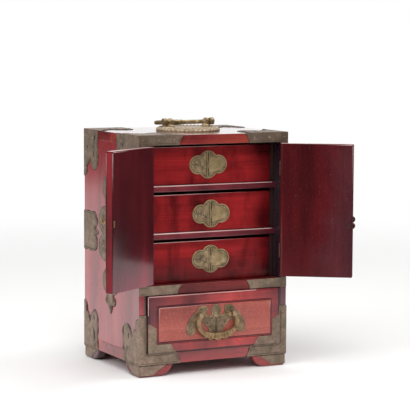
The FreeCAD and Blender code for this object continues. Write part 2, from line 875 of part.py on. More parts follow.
def base_mount(name, side):
    """An L of brass on a lower corner of the drawer front, inside its rounded edges."""
    piece = new_body(name)
    edge = s.base_front_rounding
    upright = s.base_rim_across - s.base_panel_groove - s.base_mount_clearance
    level = s.base_rim_up - s.base_panel_groove - s.base_mount_clearance
    slant = s.mount_end_slant
    outline = [
        (edge, edge),
        (s.base_mount_length, edge),
        (s.base_mount_length - slant, level),
        (upright, level),
        (upright, s.base_mount_rise - slant),
        (edge, s.base_mount_rise),
    ]
    edges = outline_edges(placed(outline, side * base_half, base_low, -side))
    pad(piece, "XZ_Plane", -base_face, edges, s.brass_sheet)
    return piece


def bat_plate():
    """A bat with spread wings: a bud between two upper lobes, wing tips hanging outside."""
    half = [
        (0.0, 0.0),
        (0.24, 0.1, 0.04),
        (0.36, 0.33, -0.04),
        (0.58, 0.48, -0.05),
        (0.69, 0.23),
        (0.83, 0.05, 0.04),
        (1.0, 0.26, 0.07),
        (0.91, 0.53, 0.03),
        (0.66, 0.79, 0.03),
        (0.41, 0.96, 0.06),
        (0.29, 0.82, 0.06),
        (0.22, 0.64, -0.04),
        (0.15, 0.76, -0.03),
        (0.14, 0.9, 0.03),
        (0.0, 1.0, 0.03),
    ]
    piece = new_body("base_drawer_bat_plate")
    outline = scaled(closed(fold(half, -1, 1)), s.bat_half_width, s.bat_height)
    edges = outline_edges(placed(outline, 0, panel_top - s.bat_height))
    pad(piece, "XZ_Plane", -panel_face, edges, s.bat_thickness)
    node("base_drawer_bat_plate", piece)


def turned(piece, profile):
    """Turn half a profile round the piece's upright axis."""
    feature = piece.newObject("PartDesign::Revolution", f"{piece.Name}_turned")
    drawing = sketch(piece, "YZ_Plane", 0, outline_edges(profile))
    feature.Profile = drawing
    feature.ReferenceAxis = (drawing, ["V_Axis"])
    feature.Angle = 360


def post(name, base_radius, head_radius, height, pin_radius):
    """A turned post with a round head, bored across for a pin at the given height."""
    piece = new_body(name)
    base, head, tall = float(base_radius), float(head_radius), float(height)
    profile = [
        (0, 0),
        (base, 0),
        (base, 0.15 * tall),
        (0.866 * head, tall - 0.5 * head, -0.1 * head),
        (0, tall + head, 0.5 * head),
    ]
    turned(piece, profile)
    bore(piece, "YZ_Plane", circle(0, height, pin_radius + s.pin_clearance))
    return piece


def bail_post(name, side):
    piece = post(name, s.bail_post_base, s.bail_post_head, s.bail_post_height, s.bail_pin_radius)
    across = side * s.bail_post_spacing / 2
    seat = Vector(float(across), float(panel_face - s.bat_thickness), float(bail_pivot))
    piece.Placement = FreeCAD.Placement(seat, FreeCAD.Rotation(Vector(1, 0, 0), 90))
    return piece


def base_bail():
    """A drop bail: leaf points along its lower edge and ends that curl in to the pins."""
    wide = s.bail_half_width
    end = float(s.bail_post_spacing / 2 + s.bail_post_head + s.free_clearance) / float(wide)
    half = [
        (0.0, -1.0),
        (0.19, -0.885, -0.012),
        (0.41, -0.93, 0.012),
        (0.5, -0.83, -0.012),
        (0.66, -0.82, 0.012),
        (0.73, -0.71, -0.012),
        (1.0, -0.36, 0.05),
        (0.93, -0.03, 0.039),
        (end, 0.08, 0.054),
        (end, -0.06),
        (0.81, -0.15, -0.019),
        (0.8, -0.4, -0.019),
        (0.55, -0.6, -0.058),
        (0.0, -0.68, -0.035),
    ]
    piece = new_body("base_drawer_bail")
    outline = scaled(closed(fold(half, -1, 1)), wide, s.bail_drop)
    edges = outline_edges(placed(outline, 0, bail_pivot))
    pad(piece, "XZ_Plane", -bail_axis - s.bail_thickness / 2, edges, s.bail_thickness)
    inner = s.bail_post_spacing / 2 - s.bail_post_head - s.free_clearance
    outer = 0.86 * wide
    for side in (-1, 1):
        pin = circle(bail_axis, bail_pivot, s.bail_pin_radius)
        pad(piece, "YZ_Plane", side * inner, pin, outer - inner, side < 0)
    node("base_drawer_bail", piece)


def base_drawer():
    bed = (base_face, base_face + s.base_panel_bed)
    wide = panel_half + s.base_panel_groove
    recess = ((-wide, wide), bed, (panel_low - s.base_panel_groove, panel_top + s.base_panel_groove))
    drawer_box("base", base_half, base_face, s.base_front_thickness, base_low, base_high,
               s.base_front_rounding, recess)
    base_panel()
    group("base_drawer_corner_mounts", [base_mount(f"base_mount_{name}", side) for name, side in SIDES])
    bat_plate()
    group("base_drawer_bail_posts", [bail_post(f"bail_post_{name}", side) for name, side in SIDES])
    base_bail()


# The carrying handle on top
plate_top = carcass_top + s.handle_plate_thickness
handle_pivot = plate_top + s.handle_post_height
arm_x = s.handle_post_spacing / 2 + s.handle_post_head + s.free_clearance + s.handle_bar_radius


def handle_plate():
    """A round plate: a thin rim, a swelling shoulder and a level crown under the posts."""
    piece = new_body("handle_plate")
    rim, tall = s.handle_plate_radius, s.handle_plate_thickness
    profile = [
        (0, 0),
        (rim, 0),
        (rim, s.handle_plate_rim),
        (s.handle_plate_crown, tall, s.handle_plate_swell),
        (0, tall),
    ]
    turned(piece, profile)
    piece.Placement.Base = Vector(float(s.handle_across), 0, float(carcass_top))
    node("handle_plate", piece)


def handle_post(name, side):
    piece = post(name, s.handle_post_base, s.handle_post_head, s.handle_post_height, s.handle_pin_radius)
    across = s.handle_across + side * s.handle_post_spacing / 2
    piece.Placement.Base = Vector(float(across), 0, float(plate_top))
    return piece


def carry_handle():
    """A round bar bent to a loop, with eyes and pins at its ends, folded back onto the top."""
    piece = new_body("carry_handle")
    arm, reach, bend = float(arm_x), float(s.handle_reach), float(s.handle_corner_radius)
    inset = bend * (1 - 0.5 ** 0.5)
    start, turn = Vector(arm, 0, 0), Vector(arm, reach - bend, 0)
    bar = Vector(arm - bend, reach, 0)
    path = [
        Part.LineSegment(start, turn),
        Part.Arc(turn, Vector(arm - inset, reach - inset, 0), bar),
        Part.LineSegment(bar, Vector(-bar.x, reach, 0)),
        Part.Arc(Vector(-bar.x, reach, 0), Vector(inset - arm, reach - inset, 0), Vector(-arm, turn.y, 0)),
        Part.LineSegment(Vector(-arm, turn.y, 0), Vector(-arm, 0, 0)),
    ]
    pipe = piece.newObject("PartDesign::AdditivePipe", "carry_handle_bar")
    pipe.Profile = sketch(piece, "XZ_Plane", 0, circle(arm_x, 0, s.handle_bar_radius))
    pipe.Spine = (sketch(piece, "XY_Plane", 0, path), [])
    inner = s.handle_post_spacing / 2 - s.handle_post_head - s.free_clearance
    for side in (-1, 1):
        eye = circle(0, 0, s.handle_eye_radius)
        pin = circle(0, 0, s.handle_pin_radius)
        pad(piece, "YZ_Plane", side * (arm_x - s.handle_bar_radius), eye, s.handle_bar_radius * 2, side < 0)
        pad(piece, "YZ_Plane", side * inner, pin, arm_x - inner, side < 0)
    fold_back = FreeCAD.Rotation(Vector(1, 0, 0), -float(s.handle_fold_angle))
    piece.Placement = FreeCAD.Placement(Vector(float(s.handle_across), 0, float(handle_pivot)), fold_back)
    node("carry_handle", piece)


def handle():
    handle_plate()
    group("handle_posts", [handle_post(f"handle_post_{name}", side) for name, side in SIDES])
    carry_handle()


def write_parts():
    """Check every object, then write each named piece to its own file."""
    doc.recompute()
    failed = [thing.Name for thing in doc.Objects if {"Invalid", "Error"} & set(thing.State)]
    if failed:
        raise RuntimeError(f"failed objects: {failed}")
    os.makedirs("parts", exist_ok=True)
    for piece in nodes:
        if piece.Shape.isNull() or not piece.Shape.isValid():
            raise RuntimeError(f"bad shape: {piece.Label}")
        piece.Shape.exportStep(f"parts/{piece.Label}.step")
        print(piece.Label, len(piece.Shape.Solids), round(piece.Shape.Volume, 1))


carcass()
feet()
corner_mounts()
side_brass()
doors()
inner_drawers()
base_drawer()
handle()
write_parts()
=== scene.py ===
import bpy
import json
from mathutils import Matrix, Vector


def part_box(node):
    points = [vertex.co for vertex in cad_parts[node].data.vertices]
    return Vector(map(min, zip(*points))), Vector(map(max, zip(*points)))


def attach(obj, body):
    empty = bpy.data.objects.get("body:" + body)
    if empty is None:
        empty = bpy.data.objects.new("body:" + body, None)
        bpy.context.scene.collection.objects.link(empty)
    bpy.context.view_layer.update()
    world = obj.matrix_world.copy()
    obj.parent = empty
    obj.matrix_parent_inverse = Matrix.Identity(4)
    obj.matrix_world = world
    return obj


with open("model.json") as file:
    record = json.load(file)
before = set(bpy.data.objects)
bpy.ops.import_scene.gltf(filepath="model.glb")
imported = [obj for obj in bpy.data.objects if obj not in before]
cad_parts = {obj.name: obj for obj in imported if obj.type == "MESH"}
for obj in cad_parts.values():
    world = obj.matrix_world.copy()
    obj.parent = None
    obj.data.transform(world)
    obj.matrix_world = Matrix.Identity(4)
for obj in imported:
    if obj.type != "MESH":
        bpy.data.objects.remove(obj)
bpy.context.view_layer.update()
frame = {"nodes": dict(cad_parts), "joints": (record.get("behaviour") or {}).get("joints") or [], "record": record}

import json
import math
import bmesh
import bpy
from mathutils import Matrix, Vector
from mathutils.bvhtree import BVHTree
from mathutils.kdtree import KDTree

nodes = frame["nodes"]
joints = {joint["name"]: joint for joint in frame["joints"]}
scene = bpy.context.scene
scene.view_settings.view_transform = "Standard"
mm = 0.001
sides = (("left", -1), ("right", 1))
smallDrawers = ("upper", "middle", "lower")


def newThing(name, data):
    thing = bpy.data.objects.new(name, data)
    scene.collection.objects.link(thing)
    return thing


def heading(angle):  # the way that an angle in degrees points, in a plane
    return Vector((math.cos(math.radians(angle)), math.sin(math.radians(angle))))


def circle(count):
    return [heading(360 * step / count) for step in range(count)]


# camera
view = {
    "target": Vector((26.07, 0.0, 175.94)) * mm,  # point in the middle of the picture
    "distance": 2041.9 * mm,
    "azimuth": -27.207,
    "elevation": 5.818,
    "roll": 0.287,
    "lens": 156.67,
    "sensor": 36,
}


def makeCamera():
    turn, rise, roll = (math.radians(view[key]) for key in ("azimuth", "elevation", "roll"))
    back = Vector((math.sin(turn) * math.cos(rise), -math.cos(turn) * math.cos(rise), math.sin(rise)))
    right = Vector((math.cos(turn), math.sin(turn), 0))
    up = back.cross(right)
    levelRight = right * math.cos(roll) + up * math.sin(roll)
    levelUp = up * math.cos(roll) - right * math.sin(roll)
    data = bpy.data.cameras.new("camera")
    data.lens, data.sensor_width = view["lens"], view["sensor"]
    camera = newThing("camera", data)
    stand = Matrix((levelRight, levelUp, back)).transposed().to_4x4()
    stand.translation = view["target"] + back * view["distance"]
    camera.matrix_world = stand
    scene.camera = camera


makeCamera()
print("camera set")

# studio: pale floor, white surround, soft lamps and dim cards that only gloss reflects
studio = {
    "floorColour": (0.9, 0.895, 0.89, 1),
    "floorRough": 0.75,
    "floorDrop": 0.2 * mm,
    "floorRadius": 6.0,
    "floorSides": 96,
    "fadeStart": 0.5,  # where the floor starts to pass into the white surround
    "fadeEnd": 1.6,
    "surround": (1.0, 1.0, 1.0, 1),
    "fill": 0.55,  # strength of the surround as light
    "cardColour": (0.012, 0.01, 0.01, 1),
    "cardHiddenFrom": ("camera", "diffuse", "transmission", "shadow", "volume_scatter"),
    "cards": (
        # name, corners in plan, height
        ("frontCard", ((-1.1, -0.56), (1.12, -0.56)), 1.5),
        ("rightCard", ((1.12, -0.56), (1.12, 0.6)), 1.2),
        ("leftCard", ((-1.1, -0.56), (-1.1, 0.5)), 1.2),
        ("backCard", ((-2.3, 1.5), (0.3, 2.77)), 1.5),
    ),
    "lamps": (
        # name, place, aim, size, watts
        ("overhead", (-0.7, -0.8, 1.9), (0, 0, 0.1), 1.9, 20),
        ("frontHigh", (-0.5, -1.9, 1.8), (0, 0, 0.15), 1.2, 13),
        ("leftHigh", (-2.0, -0.6, 1.2), (0, 0, 0.15), 1.0, 16),
        ("topStrip", (0.85, -0.25, 1.75), (0, 0, 0.15), 0.7, 9),
    ),
}


def setInput(tree, socket, value):  # a socket is linked, a plain value is set
    if isinstance(value, bpy.types.NodeSocket):
        tree.links.new(value, socket)
    else:
        socket.default_value = value


def fillInputs(tree, node, values):
    for key, value in values.items():
        setInput(tree, node.inputs[key], value)


def addNode(tree, kind, *values, **settings):  # values go to the inputs in their order
    node = tree.nodes.new(kind)
    for key, value in settings.items():
        if key in node.inputs:
            setInput(tree, node.inputs[key], value)
        else:
            setattr(node, key, value)
    for socket, value in zip(node.inputs, values):
        setInput(tree, socket, value)
    return node


def calculate(tree, operation, *values):
    return addNode(tree, "ShaderNodeMath", *values, operation=operation).outputs[0]


def objectSpace(tree, output="Object"):
    return addNode(tree, "ShaderNodeTexCoord").outputs[output]


def newMaterial(name):
    material = bpy.data.materials.new(name)
    material.use_nodes = True
    return material, material.node_tree, material.node_tree.nodes["Principled BSDF"]


def shownRays(tree):  # camera, glossy and transmission rays see the white surround
    path = addNode(tree, "ShaderNodeLightPath")
    seen = path.outputs["Is Camera Ray"]
    for other in ("Is Glossy Ray", "Is Transmission Ray"):
        seen = calculate(tree, "MAXIMUM", seen, path.outputs[other])
    return seen


def showWhite(tree, amount, lit, kind, output):  # plain white in place of the lit surface, by an amount
    glow = addNode(tree, kind, Color=studio["surround"], Strength=1.0)
    mix = addNode(tree, "ShaderNodeMixShader", amount, lit.outputs[0], glow.outputs[0])
    tree.links.new(mix.outputs[0], tree.nodes[output].inputs[0])


def makeWorld():
    world = bpy.data.worlds.new("surround")
    scene.world = world
    world.use_nodes = True
    tree = world.node_tree
    lit = tree.nodes["Background"]
    fillInputs(tree, lit, {"Color": studio["surround"], "Strength": studio["fill"]})
    showWhite(tree, shownRays(tree), lit, "ShaderNodeBackground", "World Output")


def makeFloor():
    mesh = bpy.data.meshes.new("floor")
    shape = bmesh.new()
    bmesh.ops.create_circle(shape, cap_ends=True, segments=studio["floorSides"],
                            radius=studio["floorRadius"])
    shape.to_mesh(mesh)
    shape.free()
    floor = newThing("floor", mesh)
    floor.location.z = -studio["floorDrop"]
    material, tree, shader = newMaterial("paleFloor")
    fillInputs(tree, shader, {"Base Color": studio["floorColour"], "Roughness": studio["floorRough"]})
    away = addNode(tree, "ShaderNodeVectorMath", objectSpace(tree), operation="LENGTH").outputs["Value"]
    far = addNode(tree, "ShaderNodeMapRange", away, studio["fadeStart"], studio["fadeEnd"],
                  interpolation_type="SMOOTHSTEP").outputs["Result"]
    amount = calculate(tree, "MULTIPLY", far, shownRays(tree))
    showWhite(tree, amount, shader, "ShaderNodeEmission", "Material Output")
    mesh.materials.append(material)


def makeCards():  # the dim side of the room, as the lacquer mirrors it
    material, tree, shader = newMaterial("dimCard")
    fillInputs(tree, shader, {"Base Color": studio["cardColour"], "Roughness": 1.0, "Specular IOR Level": 0.0})
    for name, ends, height in studio["cards"]:
        corners = [(x, y, z) for z in (0, height) for x, y in ends]
        mesh = bpy.data.meshes.new(name)
        mesh.from_pydata(corners, [], [(0, 1, 3, 2)])
        mesh.materials.append(material)
        card = newThing(name, mesh)
        for ray in studio["cardHiddenFrom"]:
            setattr(card, f"visible_{ray}", False)


def makeLamps():
    for name, stand, aim, size, watts in studio["lamps"]:
        data = bpy.data.lights.new(name, "AREA")
        data.shape, data.size, data.energy = "DISK", size, watts
        lamp = newThing(name, data)
        lamp.location = stand
        lamp.rotation_mode = "QUATERNION"
        lamp.rotation_quaternion = (Vector(aim) - Vector(stand)).to_track_quat("-Z", "Y")


makeWorld()
makeFloor()
makeCards()
makeLamps()
print("studio set")

# lacquered wood; what a wood doesn't give comes from plainWood
plainWood = {"grain": "X", "coat": 0.0, "worn": 0.3, "lines": 0.55, "pores": 0.4, "specular": 0.5}
woods = {
    # tones: deep, body and bright grain; stain: dark patches; worn: rubbed patches; smear: dark runs
    # fades: axis, start, end and tint, then how far it strays, the way of its faces, and True for both ways
    "sideWood": {"tones": ((0.15, 0.012, 0.016), (0.27, 0.022, 0.03), (0.36, 0.05, 0.054)), "grain": "Z",
                 "rough": 0.22, "coat": 0.75, "stain": 0.12, "worn": 0.25, "lines": 0.25, "pores": 0.15,
                 "fades": (("Z", 0.17, 0.25, (0.78, 0.6, 0.6)),
                           ("X", 0.07, 0.085, (0.42, 1.3, 1.5), 0, (0, -1, 0)),  # painted purple-grey shade on the front of the right edge
                           ("Y", -0.05, -0.068, (0.66, 1.5, 1.5), 0.01, (-1, 0, 0))),  # painted grey sheen on the left side's front margin
                 "inside": (0.0845, (0.12, 0.35, 0.36))},  # nearer the middle than this, its inner face is painted dark as shade inside the cabinet
    "backWood": {"tones": ((0.09, 0.01, 0.012), (0.19, 0.018, 0.02), (0.28, 0.035, 0.032)), "grain": "Z",
                 "rough": 0.3, "coat": 0.3, "stain": 0.5, "smear": 0.4},
    "plinthWood": {"tones": ((0.13, 0.02, 0.025), (0.27, 0.035, 0.038), (0.4, 0.055, 0.048)),
                   "rough": 0.27, "coat": 0.25, "stain": 0.6, "smear": 0.3},
    "bottomWood": {"tones": ((0.13, 0.02, 0.025), (0.27, 0.032, 0.036), (0.4, 0.052, 0.048)),
                   "rough": 0.25, "coat": 0.5, "stain": 0.4, "smear": 0.2},
    "railWood": {"tones": ((0.1, 0.011, 0.012), (0.2, 0.018, 0.018), (0.3, 0.03, 0.024)),
                 "rough": 0.27, "coat": 0.2, "stain": 0.5, "smear": 0.2},
    "footWood": {"tones": ((0.03, 0.013, 0.018), (0.075, 0.03, 0.038), (0.13, 0.055, 0.062)),
                 "rough": 0.3, "coat": 0.3, "stain": 0.5},
    "topWood": {"tones": ((0.07, 0.01, 0.012), (0.18, 0.02, 0.022), (0.31, 0.05, 0.034)),
                "rough": 0.17, "coat": 1.0, "stain": 0.6, "worn": 0.5},
    "drawerWood": {"tones": ((0.12, 0.006, 0.008), (0.27, 0.011, 0.013), (0.37, 0.016, 0.017)),
                   "rough": 0.2, "stain": 0.7, "worn": 0.1, "smear": 0.68,
                   # the right ends darken almost to black: painted shade from the right stile and the open right door
                   "fades": (("X", 0.045, 0.082, (0.2, 0.17, 0.25)),)},
    "shelfWood": {"tones": ((0.07, 0.009, 0.015), (0.16, 0.019, 0.028), (0.25, 0.036, 0.044)),
                  "rough": 0.28, "coat": 0.15, "stain": 0.7, "smear": 0.4,
                  # darker towards the right end: painted shade from the right stile and the open right door
                  "fades": (("X", 0.0, 0.085, (0.45, 0.45, 0.5)),)},
    "leftDoorWood": {"tones": ((0.036, 0.005, 0.008), (0.066, 0.0085, 0.012), (0.1, 0.011, 0.015)), "grain": "Z",
                     "rough": 0.14, "coat": 0.35, "stain": 0.35, "worn": 0.1, "lines": 0.3,
                     "specks": ((0.17, 0.07, 0.08), 0.63),
                     "fades": (("Z", 0.15, 0.1, (2.7, 1.6, 2.6), 0.012, (0.53, -0.85, 0)),)},  # painted bounce light from the floor: paler and mauve low on its inner face
    "rightDoorWood": {"tones": ((0.033, 0.003, 0.0045), (0.062, 0.005, 0.0065), (0.095, 0.006, 0.008)), "grain": "Z",
                      "rough": 0.17, "coat": 0.12, "stain": 0.25, "worn": 0.1, "lines": 0.25, "specular": 0.3,
                      "specks": ((0.15, 0.07, 0.075), 0.62),
                      # greyer towards its free edge: painted grey reflection
                      "fades": (("X", 0.105, 0.145, (0.95, 3.0, 2.9), 0.05, (-0.57, -0.82, 0)),)},
    # brighter crimson for the doors' free edges: painted light from the left
    "doorEdgeWood": {"tones": ((0.1, 0.004, 0.008), (0.18, 0.006, 0.012), (0.25, 0.01, 0.02)), "grain": "Z",
                     "rough": 0.55, "stain": 0.4, "worn": 0.4, "specular": 0.25},
    # pale lacquer for painted highlights on rounded edges
    "paintedEdgeHighlight": {"tones": ((0.34, 0.16, 0.15), (0.6, 0.38, 0.36), (0.76, 0.57, 0.54)),
                 "rough": 0.3, "coat": 0.3, "stain": 0.3, "worn": 0.4},
    # dark plum of the moulding round the raised panel: painted shade of its channel
    "channelWood": {"tones": ((0.08, 0.02, 0.026), (0.16, 0.038, 0.046), (0.24, 0.05, 0.052)),
                    "rough": 0.35, "coat": 0.1, "stain": 0.5, "worn": 0.2},
    "frameWood": {"tones": ((0.18, 0.03, 0.034), (0.43, 0.046, 0.045), (0.66, 0.065, 0.05)),
                  "rough": 0.28, "coat": 0.2, "stain": 0.75, "worn": 0.5, "smear": 0.35,
                  "fades": (("X", 0.035, 0.082, (0.42, 0.62, 0.75), 0.05, None, True),),
                  "ends": (0.0792, (0.4, 0.5, 0.55)), "under": (0.0275, (0.12, 0.3, 0.35))},  # painted shade along its ends and its bottom edge, where its gaps are
    "panelWood": {"tones": ((0.27, 0.045, 0.035), (0.37, 0.075, 0.054), (0.45, 0.105, 0.078)),
                  "rough": 0.34, "coat": 0.15, "stain": 0.15, "worn": 0.4, "smear": 0.15,
                  "specks": ((0.56, 0.26, 0.21), 0.57)},
    "bareWood": {"tones": ((0.12, 0.055, 0.025), (0.23, 0.11, 0.055), (0.31, 0.165, 0.09)), "grain": "Y",
                 "rough": 0.55, "stain": 0.2, "worn": 0.1},
    # nearly black drawer linings: painted shade inside the cabinet
    "innerWood": {"tones": ((0.01, 0.004, 0.004), (0.025, 0.009, 0.009), (0.045, 0.014, 0.013)), "grain": "Z",
                  "rough": 0.45, "stain": 0.3, "worn": 0.0},
}
brasses = {
    # tones: dark, body and worn metal; green: the tarnish and its share; chased: depth of the small dents
    "agedBrass": {"tones": ((0.165, 0.121, 0.09), (0.278, 0.195, 0.144), (0.4, 0.293, 0.214)),
                  "green": ((0.18, 0.165, 0.1), 0.35), "metal": 0.45, "rough": 0.46, "chased": 0.3,
                  # darker towards the top; towards the right, darker as painted shade away from the lamps on the left
                  "fades": (("Z", 0.07, 0.22, (0.74, 0.73, 0.72)), ("X", 0.0, 0.1, (0.8, 0.8, 0.78)))},
    "domeBrass": {"tones": ((0.19, 0.145, 0.095), (0.34, 0.255, 0.17), (0.5, 0.39, 0.27)),
                  "green": ((0.22, 0.19, 0.11), 0.3), "metal": 0.45, "rough": 0.42, "chased": 0.25},
    "nailBrass": {"tones": ((0.2, 0.15, 0.11), (0.31, 0.225, 0.165), (0.42, 0.32, 0.235)),
                  "green": ((0.2, 0.17, 0.1), 0.2), "metal": 0.5, "rough": 0.36, "chased": 0.1},
    "plateBrass": {"tones": ((0.13, 0.095, 0.052), (0.35, 0.25, 0.14), (0.56, 0.42, 0.25)),
                   "green": ((0.19, 0.175, 0.085), 0.55), "metal": 0.5, "rough": 0.42, "chased": 0.5},
    "tongueBrass": {"tones": ((0.24, 0.17, 0.08), (0.42, 0.3, 0.155), (0.56, 0.43, 0.25)),
                    "green": ((0.27, 0.23, 0.11), 0.3), "metal": 0.5, "rough": 0.36, "chased": 0.2},
    "lugBrass": {"tones": ((0.02, 0.015, 0.01), (0.05, 0.037, 0.025), (0.11, 0.082, 0.055)),
                 "green": ((0.05, 0.045, 0.025), 0.2), "metal": 0.5, "rough": 0.4, "chased": 0.2},
    "batBrass": {"tones": ((0.11, 0.076, 0.045), (0.24, 0.165, 0.1), (0.37, 0.265, 0.165)),
                 "green": ((0.13, 0.11, 0.06), 0.4), "metal": 0.45, "rough": 0.44, "chased": 0.4},
    "rimBrass": {"tones": ((0.3, 0.2, 0.13), (0.52, 0.37, 0.25), (0.66, 0.5, 0.36)),
                 "green": ((0.25, 0.2, 0.12), 0.2), "metal": 0.5, "rough": 0.38, "chased": 0.15},
    "handledBrass": {"tones": ((0.11, 0.064, 0.03), (0.325, 0.205, 0.1), (0.56, 0.4, 0.22)),
                     "green": ((0.2, 0.16, 0.07), 0.25), "metal": 0.6, "rough": 0.36, "chased": 0.2},
    "gripBrass": {"tones": ((0.09, 0.06, 0.03), (0.3, 0.21, 0.105), (0.58, 0.44, 0.26)),
                  "green": ((0.16, 0.13, 0.06), 0.3), "metal": 0.6, "rough": 0.34, "chased": 0.2},
    "incisedBrass": {"tones": ((0.022, 0.017, 0.012), (0.035, 0.027, 0.019), (0.06, 0.045, 0.03)),
                     "green": ((0.03, 0.03, 0.018), 0.3), "metal": 0.3, "rough": 0.6, "chased": 0.1},
}
# what all woods and brasses share
grainPerMetre = {"along": 7.0, "across": 210.0, "broadPower": 0.62}
patchSpace, smearSpace, chipSpace = (14, 14, 14), (42, 42, 13), (420, 900, 900)  # counts per metre
layers = {  # scale, detail, roughness and distortion of the noise
    "streaks": (1.0, 6.0, 0.6, 0.5), "pores": (4.0, 3.0, 0.7, 0.0), "broad": (1.0, 3.0, 0.5, 0.8),
    "patches": (1.0, 5.0, 0.55, 0.7), "smears": (1.0, 5.0, 0.6, 0.3), "chips": (1.0, 3.0, 0.6, 0.0),
    "mottle": (130.0, 6.0, 0.68, 0.3), "tarnish": (45.0, 4.0, 0.6, 0.0), "dents": (800.0, 3.0, 0.6, 0.0),
}
white, black = (1, 1, 1), (0, 0, 0)
tints = {  # stops of the ramps that multiply a base
    "lines": ((0.32, (0.62, 0.55, 0.57)), (0.52, white)),
    "pores": ((0.34, (0.4, 0.36, 0.38)), (0.46, white)),
    "stain": ((0.34, (0.22, 0.2, 0.26)), (0.47, white)),
    "smear": ((0.33, (0.2, 0.14, 0.24)), (0.5, white)),
    "pitted": ((0.3, (0.55, 0.52, 0.5)), (0.45, white)),
    "rubbedAndHighlit": ((0.52, black), (0.64, white)),
}
woodStops, brassStops, tarnishStops = (0.3, 0.5, 0.7), (0.3, 0.5, 0.72), (0.5, 0.68)
coatRoughness, chipStrength, chipSpan, pitStrength = 0.12, 0.55, 0.1, 0.7
woodRoughness, brassRoughness = (1.4, 0.7), (0.15, -0.1)  # factors, and steps, at the two ends of the patches
poreDepth, poreStrength, dentDepth = 0.3 * mm, 0.1, 0.25 * mm


def ramp(tree, amount, stops):
    node = addNode(tree, "ShaderNodeValToRGB", amount)
    while len(node.color_ramp.elements) < len(stops):
        node.color_ramp.elements.new(0.5)
    for element, (spot, colour) in zip(node.color_ramp.elements, stops):
        element.position = spot
        element.color = (*colour, 1)
    return node.outputs[0]


def stretched(tree, scale):  # object coordinates drawn out along the grain
    return addNode(tree, "ShaderNodeMapping", Vector=objectSpace(tree), Scale=scale).outputs[0]


def noise(tree, vector, layer):
    scale, detail, rough, distortion = layers[layer]
    return addNode(tree, "ShaderNodeTexNoise", Vector=vector, Scale=scale, Detail=detail, Roughness=rough,
                   Distortion=distortion).outputs["Fac"]


def blendColours(tree, amount, first, second, kind="MIX"):
    node = addNode(tree, "ShaderNodeMix", data_type="RGBA", blend_type=kind)
    for index, value in ((0, amount), (6, first), (7, second)):
        setInput(tree, node.inputs[index], (*value, 1) if isinstance(value, tuple) else value)
    return node.outputs[2]


def tinted(tree, amount, base, colour):  # the base times a colour, by an amount
    return blendColours(tree, amount, base, blendColours(tree, 1.0, base, colour, "MULTIPLY"))


def spread(tree, value, low, high):  # a 0 to 1 value set out between low and high
    return addNode(tree, "ShaderNodeMapRange", value, 0.0, 1.0, low, high).outputs["Result"]


def bump(tree, shader, height, strength, distance):
    node = addNode(tree, "ShaderNodeBump", Strength=strength, Distance=distance, Height=height)
    tree.links.new(node.outputs[0], shader.inputs["Normal"])


def alongAxis(tree, axis):
    return addNode(tree, "ShaderNodeSeparateXYZ", objectSpace(tree)).outputs[axis]


def facing(tree, way, least=0.7):  # one on the faces that look this way, at rest
    product = addNode(tree, "ShaderNodeVectorMath", objectSpace(tree, "Normal"), way, operation="DOT_PRODUCT")
    return calculate(tree, "GREATER_THAN", product.outputs["Value"], least)


def fadeAlong(tree, base, wander, axis, start, end, colour, stray=0.05, way=None, bothWays=False):
    spot = alongAxis(tree, axis)
    if bothWays:
        spot = calculate(tree, "ABSOLUTE", spot)
    spot = calculate(tree, "ADD", spot, spread(tree, wander, -stray, stray))
    amount = addNode(tree, "ShaderNodeMapRange", spot, start, end, interpolation_type="SMOOTHSTEP").outputs["Result"]
    if way:
        amount = blendColours(tree, facing(tree, way), black, amount)
    return tinted(tree, amount, base, colour)


def paintedEdgeShade(tree, base, look):  # painted shade: the ends and the bottom edge of the base drawer, by its gaps, and the inner face of a side
    parts = (("ends", "X", "GREATER_THAN"), ("under", "Z", "LESS_THAN"), ("inside", "X", "LESS_THAN"))
    for key, axis, operation in parts:
        if key in look:
            limit, colour = look[key]
            spot = calculate(tree, "ABSOLUTE", alongAxis(tree, axis))
            base = tinted(tree, calculate(tree, operation, spot, limit), base, colour)
    return base


def makeWood(name, look):
    look = {**plainWood, **look}
    bright = look["tones"][2]
    material, tree, shader = newMaterial(name)
    scale = [grainPerMetre["along" if axis == look["grain"] else "across"] for axis in "XYZ"]
    grain = stretched(tree, scale)
    broadGrain = stretched(tree, [value ** grainPerMetre["broadPower"] for value in scale])
    pores = noise(tree, grain, "pores")
    patches = noise(tree, stretched(tree, patchSpace), "patches")
    base = ramp(tree, noise(tree, broadGrain, "broad"), tuple(zip(woodStops, look["tones"])))
    for key, layer in (("lines", noise(tree, grain, "streaks")), ("pores", pores), ("stain", patches)):
        base = blendColours(tree, look[key], base, ramp(tree, layer, tints[key]), "MULTIPLY")
    rubbedBase = blendColours(tree, look["worn"], base, bright)
    base = blendColours(tree, ramp(tree, patches, tints["rubbedAndHighlit"]), base, rubbedBase)
    if "smear" in look:
        smears = noise(tree, stretched(tree, smearSpace), "smears")
        base = blendColours(tree, look["smear"], base, ramp(tree, smears, tints["smear"]), "MULTIPLY")
    for fade in look.get("fades", ()):
        base = fadeAlong(tree, base, patches, *fade)
    if "specks" in look:  # small chips where the lacquer has gone pale
        colour, start = look["specks"]
        chips = noise(tree, stretched(tree, chipSpace), "chips")
        chips = ramp(tree, chips, ((start, black), (start + chipSpan, white)))
        base = blendColours(tree, chips, base, blendColours(tree, chipStrength, base, colour))
    fillInputs(tree, shader, {
        "Base Color": paintedEdgeShade(tree, base, look),
        "Roughness": spread(tree, patches, *(look["rough"] * factor for factor in woodRoughness)),
        "Coat Weight": look["coat"],
        "Coat Roughness": coatRoughness,
        "Specular IOR Level": look["specular"],
    })
    bump(tree, shader, pores, poreStrength, poreDepth)
    return material


